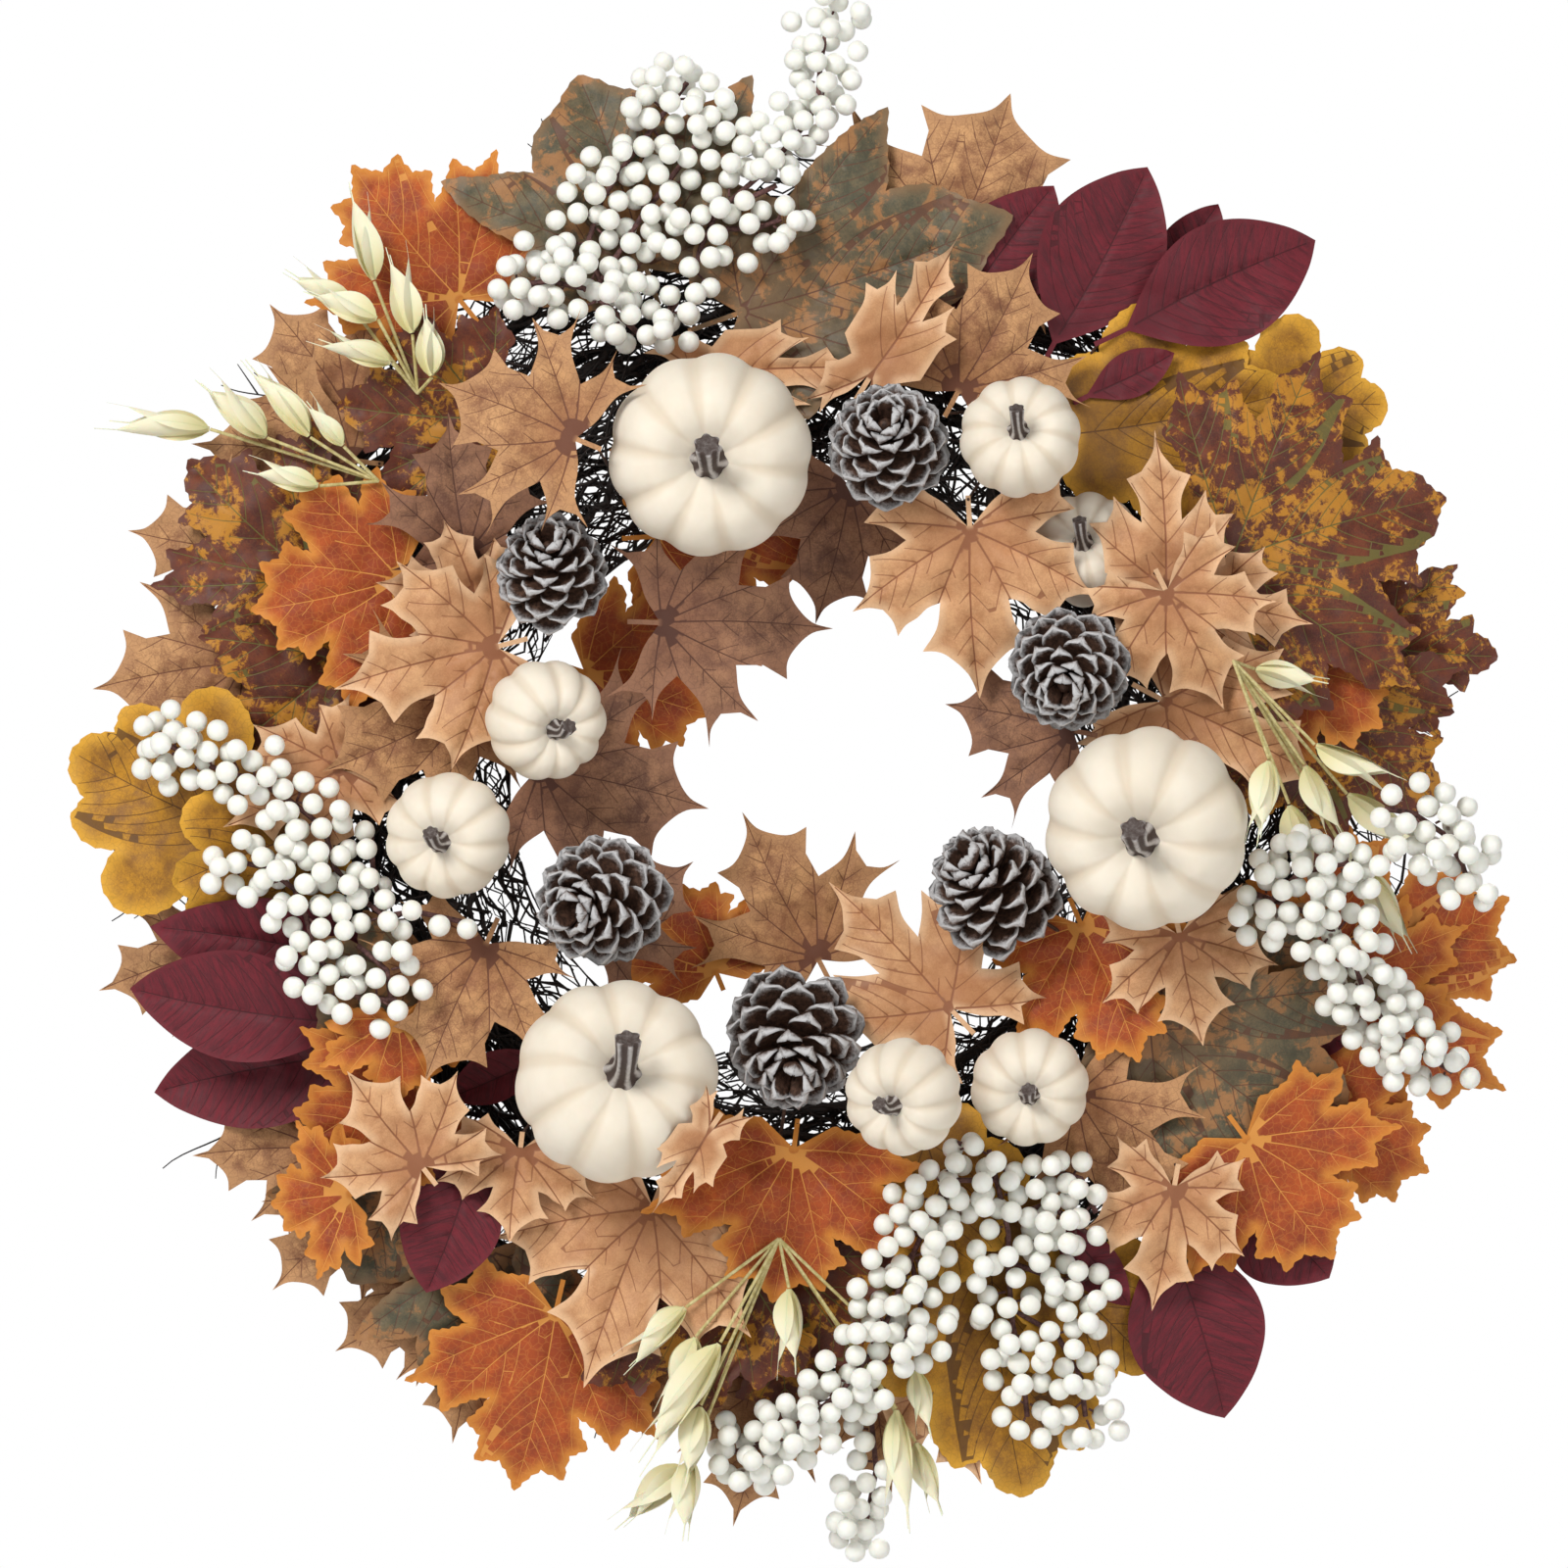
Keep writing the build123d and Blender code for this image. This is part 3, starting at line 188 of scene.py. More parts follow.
def curve_through(corners, steps):
    """Points of a smooth curve through corners, with steps from each to the next."""
    corners = np.asarray(corners, float)
    padded = np.concatenate([[2 * corners[0] - corners[1]], corners, [2 * corners[-1] - corners[-2]]])
    points = []
    for a, b, c, d in zip(padded, padded[1:], padded[2:], padded[3:]):
        for i in range(steps):
            t = i / steps
            points.append(0.5 * (2 * b + (c - a) * t + (2 * a - 5 * b + 4 * c - d) * t ** 2
                                 + (3 * b - a - 3 * c + d) * t ** 3))
    return np.array(points + [corners[-1]])


def unit(vector):
    vector = np.asarray(vector, float)
    return vector / (np.linalg.norm(vector) + 1e-12)


def ring(centre, radii, turns, side, other):
    """Points round a centre, each at its radius and turn."""
    return centre + np.outer(radii * np.cos(turns), side) + np.outer(radii * np.sin(turns), other)


def axes_round(axis, hint=(0.13, 0.29, 0.95)):
    """Two unit vectors across an axis."""
    side = unit(np.cross(hint, axis))
    return side, np.cross(axis, side)


# ------------------------------------------------------------------ materials
def rgb(red, green, blue):
    """A colour in the shader's linear units, from its 0 to 255 values."""
    return tuple((c / 255 / 12.92) if c < 10.3 else ((c / 255 + 0.055) / 1.055) ** 2.4
                 for c in (red, green, blue)) + (1.0,)


class Shader:
    """A material's node tree. Each call adds a node and returns its output socket."""

    def __init__(self, name, **settings):
        self.material = bpy.data.materials.new(name)
        self.material.use_nodes = True
        self.tree = self.material.node_tree
        self.surface = self.tree.nodes["Principled BSDF"]
        for key, value in settings.items():
            self.surface.inputs[key.replace("_", " ")].default_value = value

    def put(self, socket, value):
        if isinstance(value, bpy.types.NodeSocket):
            self.tree.links.new(value, socket)
        elif value is not None:
            socket.default_value = value

    def node(self, kind, output, sockets=(), **settings):
        made = self.tree.nodes.new("ShaderNode" + kind)
        for key, value in settings.items():
            setattr(made, key, value)
        for key, value in sockets:
            self.put(made.inputs[key], value)
        return made.outputs[output]

    def attribute(self, name, output="Fac"):
        return self.node("Attribute", output, attribute_name=name)

    def place(self):
        return self.node("TexCoord", "Object")

    def noise(self, where, scale, detail=3.0, roughness=0.55, distortion=0.0):
        return self.node("TexNoise", "Fac", (("Vector", where), ("Scale", scale), ("Detail", detail),
                                             ("Roughness", roughness), ("Distortion", distortion)))

    def cells(self, where, scale):
        """The distance to the nearest border between cells."""
        return self.node("TexVoronoi", "Distance", (("Vector", where), ("Scale", scale)),
                         feature="DISTANCE_TO_EDGE")

    def stripes(self, where, scale, direction, distortion=0.0):
        return self.node("TexWave", "Fac", (("Vector", where), ("Scale", scale), ("Distortion", distortion)),
                         bands_direction=direction)

    def ramp(self, value, low, high, start=0.0, end=1.0):
        """value, mapped smoothly from low..high to start..end."""
        return self.node("MapRange", "Result", (("Value", value), ("From Min", low), ("From Max", high),
                                                ("To Min", start), ("To Max", end)),
                         interpolation_type="SMOOTHSTEP")

    def math(self, operation, first, second):
        return self.node("Math", 0, ((0, first), (1, second)), operation=operation)

    def plus(self, first, second, share):
        """first and a share of second."""
        return self.math("ADD", first, self.math("MULTIPLY", second, share))

    def mix(self, share, first, second):
        return self.node("Mix", 2, ((0, share), (6, first), (7, second)), data_type="RGBA")

    def tint(self, colour, other, value, low, high, start, end):
        """colour, mixed with another by a value mapped from low..high to start..end."""
        return self.mix(self.ramp(value, low, high, start, end), colour, rgb(*other))

    def finish(self, colour, roughness=None, height=None, strength=0.3, distance=MM):
        self.put(self.surface.inputs["Base Color"], colour)
        self.put(self.surface.inputs["Roughness"], roughness)
        if height is not None:
            bump = self.tree.nodes.new("ShaderNodeBump")
            bump.inputs["Strength"].default_value = strength
            bump.inputs["Distance"].default_value = distance
            self.put(bump.inputs["Height"], height)
            self.put(self.surface.inputs["Normal"], bump.outputs["Normal"])
        return self.material


# How each kind of leaf is dyed and printed, and how deep its weave and the weave's painted shade are. Widths
# are in mm, scales in features to the centimetre.
leaf_looks = {
    "tan": dict(dark=(136, 88, 58), light=(208, 158, 108), heart=(160, 106, 68), rim=(190, 142, 98),
                vein=(112, 68, 48), vein_width=0.30, branch_width=0.20, net=0.30, blotch=0.75, rim_width=7,
                roughness=0.72, weave=0.5),
    "taupe": dict(dark=(104, 68, 52), light=(172, 126, 94), heart=(128, 84, 62), rim=(152, 108, 82),
                  vein=(88, 54, 42), vein_width=0.30, branch_width=0.20, net=0.3, blotch=0.75, rim_width=7,
                  roughness=0.72, weave=0.5),
    "peach": dict(dark=(178, 122, 80), light=(220, 170, 122), heart=(176, 118, 76), rim=(230, 188, 146),
                  vein=(146, 92, 60), vein_width=0.42, branch_width=0.24, net=0.12, blotch=0.5, rim_width=5,
                  roughness=0.55, weave=0.35),
    "rust": dict(dark=(136, 52, 20), light=(188, 88, 32), heart=(148, 58, 22), rim=(214, 138, 50),
                 vein=(216, 146, 66), vein_width=0.24, branch_width=0.16, net=0.24, blotch=0.5, rim_width=6,
                 roughness=0.62, weave=0.4),
    "olive": dict(dark=(76, 74, 56), light=(116, 102, 74), heart=(118, 88, 58), rim=(132, 102, 70),
                  vein=(98, 62, 44), vein_width=0.30, branch_width=0.20, net=0.16, blotch=0.8, rim_width=6,
                  speckle=(166, 116, 70), speckle_at=0.50, speckle_scale=1.5, roughness=0.5, weave=0.35),
    "mottled": dict(dark=(76, 30, 18), light=(116, 54, 26), heart=(88, 38, 20), rim=(94, 42, 26),
                    vein=(104, 96, 42), vein_width=0.32, branch_width=0.20, net=0.1, blotch=0.8, rim_width=5,
                    speckle=(192, 130, 32), speckle_at=0.52, speckle_scale=2.3, roughness=0.52, weave=0.35),
    "mustard": dict(dark=(138, 90, 26), light=(200, 142, 34), heart=(112, 74, 26), rim=(222, 164, 48),
                    vein=(92, 58, 22), vein_width=0.28, branch_width=0.18, net=0.2, blotch=0.7, rim_width=8,
                    roughness=0.6, weave=0.4),
    "magnolia": dict(dark=(80, 15, 27), light=(116, 27, 40), heart=(88, 18, 30), rim=(106, 25, 37),
                     vein=(72, 12, 22), vein_width=0.4, branch_width=0.2, net=0.0, blotch=0.8, rim_width=3,
                     roughness=0.62, weave=0.3),
}


def leaf_material(kind):
    """Dyed and printed fabric: blotches, a warm heart, a lighter rim, veins, a fine net, and a weave with
    painted shade darkening its sunken threads.
    """
    look = leaf_looks[kind]
    shader = Shader(f"leaf_{kind}", Specular_IOR_Level=0.35, Sheen_Weight=0.12, Sheen_Roughness=0.5)
    where = shader.attribute("leaf_place", "Vector")
    streak = shader.attribute("leaf_streak", "Vector")
    pattern = streak if kind == "magnolia" else where
    blotches = shader.noise(pattern, 1.1 if kind != "magnolia" else 2.2, 7.0, 0.6, 0.4)
    grain = shader.noise(pattern, 14.0, 4.0, 0.7)
    tone = shader.plus(shader.math("MULTIPLY", blotches, 0.65), grain, 0.35)
    soft = 0.28 * (1.25 - look["blotch"])
    colour = shader.mix(shader.ramp(tone, 0.5 - soft, 0.5 + soft), rgb(*look["dark"]), rgb(*look["light"]))
    colour = shader.tint(colour, look["heart"], shader.attribute("reach"), 0.0, 0.62, 0.75, 0.0)
    edge = shader.plus(shader.attribute("edge"), blotches, 3.0)
    colour = shader.tint(colour, look["rim"], edge, 1.4, 1.4 + look["rim_width"], 0.85, 0.0)
    if "speckle" in look:
        fine = shader.noise(where, look["speckle_scale"], 9.0, 0.72, 0.5)
        broad = shader.noise(where, 0.55, 2.0)
        level = shader.plus(fine, shader.math("SUBTRACT", broad, 0.5), 0.8)
        at = look["speckle_at"]
        colour = shader.tint(colour, look["speckle"], level, at, at + 0.10, 0.0, 0.88)
    vein_width, branch_width = look["vein_width"], look["branch_width"]
    main = shader.ramp(shader.attribute("vein"), vein_width * 0.5, vein_width * 1.7, 1.0, 0.0)
    branch = shader.ramp(shader.attribute("branch"), branch_width * 0.4, branch_width * 1.8, 0.85, 0.0)
    wobble = shader.mix(0.08, where, shader.noise(where, 3.0, 2.0))
    net = shader.ramp(shader.cells(wobble, 3.6), 0.0, 0.075, look["net"], 0.0)
    lines = shader.math("MAXIMUM", main, branch)
    colour = shader.mix(shader.math("MAXIMUM", lines, net), colour, rgb(*look["vein"]))
    warp, weft = (shader.stripes(where, 6.2, way, 0.4) for way in "XY")
    threads = shader.math("MULTIPLY", warp, weft)
    # painted shade: the colour darkens where the weave's bump sinks
    shade = shader.math("MULTIPLY", threads, 0.22 * look["weave"])
    colour = shader.mix(shade, colour, (0.02, 0.015, 0.01, 1.0))
    height = shader.plus(shader.math("MULTIPLY", grain, 0.35), lines, -0.9)
    height = shader.plus(height, threads, -0.25 * look["weave"])
    rough = shader.ramp(blotches, 0.3, 0.7, look["roughness"] - 0.06, look["roughness"] + 0.1)
    return shader.finish(colour, rough, height, 0.42, 0.5 * MM)


def pumpkin_material():
    """Matt cream paint on foam: finely pebbled, with painted shade darkening the grooves."""
    shader = Shader("pumpkin_skin", Specular_IOR_Level=0.3, Subsurface_Weight=0.08, Subsurface_Scale=2 * MM)
    where = shader.place()
    cloud = shader.noise(where, 38.0, 4.0)
    colour = shader.mix(shader.ramp(cloud, 0.3, 0.75), rgb(229, 217, 197), rgb(238, 228, 210))
    # painted shade: the skin is darkened in the grooves
    colour = shader.tint(colour, (210, 190, 162), shader.attribute("painted_groove_shade"), 0.25, 1.0, 0.0, 0.45)
    colour = shader.tint(colour, (204, 184, 158), shader.attribute("dimple"), 0.0, 1.0, 0.0, 0.6)
    pebbles = shader.plus(shader.noise(where, 700.0, 3.0), cloud, 0.8)
    return shader.finish(colour, shader.ramp(cloud, 0.3, 0.7, 0.6, 0.75), pebbles, 0.16, 0.4 * MM)


def stalk_material():
    """Grey-brown bark with silver paint rubbed on its ridges."""
    shader = Shader("pumpkin_stalk", Specular_IOR_Level=0.5, Metallic=0.15)
    where = shader.place()
    grain = shader.noise(where, 420.0, 6.0, 0.7)
    worn = shader.plus(shader.attribute("ridge"), grain, 0.6)
    colour = shader.mix(shader.ramp(worn, 0.55, 1.15), rgb(72, 58, 52), rgb(188, 182, 178))
    return shader.finish(colour, shader.ramp(worn, 0.5, 1.2, 0.75, 0.4), grain, 0.6, 0.5 * MM)


def cone_material():
    """Dark brown woody scales, frosted white at their tips."""
    shader = Shader("cone_scale", Specular_IOR_Level=0.4)
    where = shader.place()
    grain = shader.noise(where, 520.0, 6.0, 0.7)
    wood = shader.mix(shader.ramp(grain, 0.35, 0.7), rgb(52, 35, 27), rgb(108, 78, 62))
    frost = shader.plus(shader.attribute("frost"), grain, 0.55)
    colour = shader.mix(shader.ramp(frost, 0.74, 1.06, 0.0, 0.9), wood, rgb(204, 203, 203))
    return shader.finish(colour, shader.ramp(frost, 0.8, 1.2, 0.55, 0.85), grain, 0.7, 0.5 * MM)


def berry_material():
    """Off-white lacquer with a faint mottle and a brown dot at the stem end."""
    shader = Shader("berry_skin", Specular_IOR_Level=0.45, Subsurface_Weight=0.1, Subsurface_Scale=1.5 * MM,
                    Coat_Weight=0.12, Coat_Roughness=0.35)
    where = shader.place()
    cloud = shader.noise(where, 160.0, 3.0)
    colour = shader.mix(shader.ramp(cloud, 0.3, 0.7), rgb(238, 237, 226), rgb(247, 247, 240))
    colour = shader.tint(colour, (120, 92, 80), shader.attribute("calyx"), 0.93, 0.99, 0.0, 0.9)
    return shader.finish(colour, shader.ramp(cloud, 0.3, 0.7, 0.36, 0.48), shader.noise(where, 900.0, 2.0),
                         0.06, 0.3 * MM)


def husk_material():
    """Pale straw film with fine lengthwise nerves."""
    shader = Shader("oat_husk", Specular_IOR_Level=0.4, Subsurface_Weight=0.25, Subsurface_Scale=2 * MM)
    nerve = shader.stripes(shader.attribute("husk_place", "Vector"), 1.9, "X", 0.6)
    along = shader.attribute("along")
    colour = shader.mix(shader.ramp(along, 0.0, 0.5), rgb(224, 214, 158), rgb(246, 240, 210))
    colour = shader.mix(shader.math("MULTIPLY", nerve, 0.25), colour, rgb(222, 210, 158))
    return shader.finish(colour, shader.ramp(nerve, 0.0, 1.0, 0.42, 0.6), nerve, 0.3, 0.3 * MM)


def bark_material(name, dark, light, scale, roughness=0.75, metallic=0.0, strength=0.5):
    """A plain grained finish for stems, twigs and wires, darker in its hollows."""
    shader = Shader(name, Specular_IOR_Level=0.35, Metallic=metallic)
    where = shader.place()
    grain = shader.noise(where, scale, 6.0, 0.68, 0.3)
    colour = shader.mix(shader.ramp(grain, 0.32, 0.7), rgb(*dark), rgb(*light))
    return shader.finish(colour, shader.ramp(grain, 0.3, 0.7, roughness - 0.1, roughness + 0.08), grain,
                         strength, 0.3 * MM)


# ------------------------------------------------------------------ the bed that things lie on
class Bed:
    """The y of the front of what is laid so far, on a grid over X and Z."""

    cell = 2 * MM
    reach = 0.37

    def __init__(self, fill):
        self.side = int(2 * self.reach / self.cell) + 1
        self.y = np.full((self.side, self.side), fill)

    def places(self):
        steps = np.arange(self.side) * self.cell - self.reach
        return np.meshgrid(steps + middle.x, steps + middle.z, indexing="ij")

    def corners(self, x, z):
        i = np.clip(((x - middle.x + self.reach) / self.cell).astype(int), 0, self.side - 2)
        k = np.clip(((z - middle.z + self.reach) / self.cell).astype(int), 0, self.side - 2)
        return [(i, k), (i + 1, k), (i, k + 1), (i + 1, k + 1)]

    def at(self, x, z, pick=np.minimum):
        values = [self.y[corner] for corner in self.corners(x, z)]
        return pick(pick(values[0], values[1]), pick(values[2], values[3]))

    def lay(self, points, triangles, pick=np.minimum):
        """Raises the bed over a mesh, by samples on each of its triangles."""
        a, b, c = points[triangles[:, 0]], points[triangles[:, 1]], points[triangles[:, 2]]
        samples = np.concatenate([a, b, c, (a + b) / 2, (b + c) / 2, (c + a) / 2, (a + b + c) / 3])
        for corner in self.corners(samples[:, 0], samples[:, 2]):
            pick.at(self.y, corner, samples[:, 1])


def inside(outline, x, z):
    """Which of the points (x, z) lie within a closed outline."""
    (low_x, low_z), (high_x, high_z) = outline.min(axis=0), outline.max(axis=0)
    near = (x > low_x) & (x < high_x) & (z > low_z) & (z < high_z)
    px, pz = x[near], z[near]
    hit = np.zeros(px.shape, bool)
    (ax, az), (bx, bz) = outline.T[:, :, None], np.roll(outline, -1, axis=0).T[:, :, None]
    slope = (bx - ax) / np.where(az == bz, 1.0, bz - az)
    for i in range(0, len(px), 2000):
        some_x, some_z = px[i:i + 2000], pz[i:i + 2000]
        crossed = ((az > some_z) != (bz > some_z)) & (some_x < slope * (some_z - az) + ax)
        hit[i:i + 2000] = crossed.sum(axis=0) % 2 == 1
    near[near] = hit
    return near


def nearest(points, starts, ends, weights):
    """Each point's distance to the nearest of some segments, each distance over the segment's weight."""
    run = ends - starts
    square = (run ** 2).sum(axis=1) + 1e-12
    away = points[:, None, :] - starts[None]
    t = np.clip((away * run).sum(axis=2) / square, 0, 1)
    gap = np.linalg.norm(away - t[..., None] * run, axis=2)
    return (gap / weights).min(axis=1)


# ------------------------------------------------------------------ leaves
petiole_share = 0.18        # of the leaf's length: the straight part of its petiole
blade_growth = (1.14, 1.08)   # across and along: the thin blades reach past their CAD plates
point_pitch = 2.5           # mm, between the points inside a blade
margin_pitch = 1.8
sharp_turn = math.radians(30)
# The pitch and depth of a margin's teeth, in mm.
teeth = {"rust": (4.6, 0.75), "mottled": (5.2, 0.8), "olive": (6.5, 0.6), "mustard": (6.0, 0.7)}
tooth_lean = 0.68           # of a tooth's pitch: where its tip stands
# How a blade bends, in shares of its length: sides folded forward, tips curled back, waves, and the
# depth in mm of the creases at its veins.
leaf_bends = {
    "tan": (0.09, 0.09, 0.030, 1.4), "taupe": (0.09, 0.09, 0.030, 1.4), "peach": (0.11, 0.08, 0.034, 2.2),
    "rust": (0.10, 0.07, 0.028, 1.2), "olive": (0.10, 0.09, 0.030, 1.4), "mottled": (0.10, 0.08, 0.028, 1.3),
    "mustard": (0.11, 0.08, 0.032, 1.2), "magnolia": (0.14, 0.06, 0.020, 1.6),
}


class Leaf:
    """A leaf plate of the CAD model: its outline, its plane, and the line from petiole to tip."""

    def __init__(self, node, points, triangles):
        self.node, self.kind = node, node.split("_")[0]
        a, b, c = (points[triangles[:, i]] for i in range(3))
        normal = np.cross(b - a, c - a)
        normal /= np.linalg.norm(normal, axis=1)[:, None] + 1e-15
        front = triangles[normal[:, 1] < -0.9]
        loop = points[outer_loop(points, front)]
        self.outline = loop[:, [0, 2]]
        terms = np.column_stack([loop[:, 0], loop[:, 2], np.ones(len(loop))])
        self.plane = np.linalg.lstsq(terms, loop[:, 1], rcond=None)[0]
        self.find_petiole()

    def find_petiole(self):
        """Sets where the blade begins, the way to the tip, and the outline in mm along and across."""
        points = self.outline
        runs = np.roll(points, -1, axis=0) - points
        size = np.linalg.norm(runs, axis=1)
        best, cap = 0.0, 0
        for i in range(len(points)):
            last, following = i - 1, (i + 1) % len(points)
            before, after = runs[last] / size[last], runs[following] / size[following]
            if 1.5 * MM < size[i] < 2.1 * MM and before @ after < -0.97:
                shorter = min(size[last], size[following])
                if shorter > best:
                    best, cap = shorter, i
        along = -runs[cap - 1] / size[cap - 1]
        self.length = best / petiole_share
        self.along, self.across = along, np.array([along[1], -along[0]])
        self.base = (points[cap] + points[(cap + 1) % len(points)]) / 2 + along * 0.2 * self.length
        order = np.roll(points, -(cap + 1), axis=0) - self.base
        flat = np.column_stack([order @ self.across, order @ along]) / MM
        area = np.sum(flat[:, 0] * np.roll(flat[:, 1], -1) - flat[:, 1] * np.roll(flat[:, 0], -1)) / 2
        self.flat = (flat if area > 0 else flat[::-1]) * blade_growth
        self.length /= MM

    def y_at(self, x, z):
        return self.plane[0] * x + self.plane[1] * z + self.plane[2]

    def in_space(self, flat):
        """The x and z of points given in mm across and along."""
        place = self.base + np.outer(flat[:, 0] * MM, self.across) + np.outer(flat[:, 1] * MM, self.along)
        return place[:, 0], place[:, 1]


def outer_loop(points, triangles):
    """The outer border of some triangles, as point numbers in order."""
    edges = {(int(t[i]), int(t[(i + 1) % 3])) for t in triangles for i in range(3)}
    follows = {a: b for a, b in edges if (b, a) not in edges}
    best, longest = [], 0.0
    while follows:
        start, following = follows.popitem()
        loop = [start]
        while following in follows:
            loop.append(following)
            following = follows.pop(following)
        if following != start:
            loop.append(following)
        way_round = np.linalg.norm(np.diff(points[loop], axis=0), axis=1).sum()
        if way_round > longest:
            best, longest = loop, way_round
    return best


def margin(leaf):
    """The leaf's outline with bowed margins as curves, and with its kind's teeth."""
    corners = leaf.flat
    runs = np.roll(corners, -1, axis=0) - corners
    heading = np.arctan2(runs[:, 1], runs[:, 0])
    turn = np.abs((heading - np.roll(heading, 1) + math.pi) % (2 * math.pi) - math.pi)
    on_petiole = (np.abs(corners[:, 0]) < 1.2) & (corners[:, 1] < 0)
    sharp = (turn > sharp_turn) | on_petiole
    first = int(np.argmax(sharp))
    corners, sharp, on_petiole = (np.roll(a, -first, axis=0) for a in (corners, sharp, on_petiole))
    stops = list(np.flatnonzero(sharp)) + [len(corners)]
    pitch, depth = teeth.get(leaf.kind, (0, 0))
    points = []
    for start, end in zip(stops, stops[1:]):
        span = np.concatenate([corners[start:end], corners[[end % len(corners)]]])
        plain = on_petiole[start] or on_petiole[end % len(corners)]
        length = np.linalg.norm(np.diff(span, axis=0), axis=1).sum()
        if len(span) > 2:
            span = curve_through(span, max(2, int(length / (len(span) - 1) / margin_pitch)))
        gone = np.concatenate([[0], np.cumsum(np.linalg.norm(np.diff(span, axis=0), axis=1))])
        if pitch and not plain and length > 0.8 * pitch:
            count = max(1, round(length / pitch))
            marks = [mark for i in range(count)
                     for mark in ((i / count, 0.0), ((i + tooth_lean) / count, depth))]
        else:
            count = max(1, round(length / margin_pitch))
            marks = [(i / count, 0.0) for i in range(count)]
        for share, out in marks:
            at = share * gone[-1]
            point, ahead = (np.array([np.interp(d, gone, span[:, k]) for k in (0, 1)])
                            for d in (at, min(at + 0.4, gone[-1])))
            way = ahead - point
            outward = np.array([way[1], -way[0]]) / (np.linalg.norm(way) + 1e-9)
            points.append(point + outward * out)
    return np.array(points)


def lobe_tips(leaf):
    """The outline's points that stand furthest out from the base, one for each lobe."""
    corners = leaf.flat
    far = np.linalg.norm(corners, axis=1)
    window = 0.24 * leaf.length
    tips = []
    for i, point in enumerate(corners):
        near = np.linalg.norm(corners - point, axis=1) < window
        on_petiole = abs(point[0]) < 2 and point[1] < 0
        if far[i] >= far[near].max() and far[i] > 0.38 * leaf.length and not on_petiole:
            tips.append(point)
    if leaf.kind == "magnolia":
        tips = [max(tips, key=lambda p: p[1])]
    return tips


def gap_between(points, line):
    """How far each of some points is from the nearest point of a line."""
    return np.linalg.norm(points[:, None] - line[None], axis=2).min(axis=1)


def vein_lines(leaf, outline):
    """The main veins, one to each lobe, and their branches, each as points in mm."""
    mains = []
    for tip in lobe_tips(leaf):
        size = np.linalg.norm(tip)
        bow = np.array([tip[1], -tip[0]]) / size * (0.045 * size * np.sign(tip[0]))
        steps = max(4, int(size / point_pitch))
        t = np.linspace(0, 0.95, steps)[:, None]
        mains.append(2 * t * (1 - t) * (tip / 2 + bow) + t ** 2 * tip)
    branches = []
    slant = math.radians(58 if leaf.kind == "magnolia" else 46)
    pitch = 7.5 if leaf.kind == "magnolia" else 9.0
    for own, main in enumerate(mains):
        size = np.linalg.norm(main[-1])
        others = [m for k, m in enumerate(mains) if k != own]
        for rank in range(1, int(0.88 * size / pitch) + 1):
            at = rank * pitch
            i = min(int(at / size * (len(main) - 1)), len(main) - 2)
            heading = math.atan2(*(main[i + 1] - main[i])[::-1])
            for side in (-1, 1):
                angles = heading + side * (slant - math.radians(1.1) * np.arange(1, 60))
                line = main[i] + 1.3 * np.cumsum(np.column_stack([np.cos(angles), np.sin(angles)]), axis=0)
                fits = inside(outline, line[:, 0], line[:, 1])
                own_gap = gap_between(line, main)
                for other in others:
                    fits &= gap_between(line, other) > own_gap + 1.5
                count = int(np.argmin(np.append(fits, False)))
                if count > 3:
                    branches.append(np.concatenate([main[i:i + 1], line[:count - 1]]))
    return mains, branches


def segments(lines, thin):
    """The runs of some lines, and each run's weight, from 1 at the line's start down to thin."""
    starts = np.concatenate([line[:-1] for line in lines])
    ends = np.concatenate([line[1:] for line in lines])
    weights = np.concatenate([np.linspace(1, thin, len(line) - 1) for line in lines])
    return starts, ends, weights


def twice_area(flat, triangles):
    """Twice the area of each triangle, negative where its points go round clockwise."""
    a, b, c = (flat[triangles[:, i]] for i in range(3))
    return (b[:, 0] - a[:, 0]) * (c[:, 1] - a[:, 1]) - (b[:, 1] - a[:, 1]) * (c[:, 0] - a[:, 0])


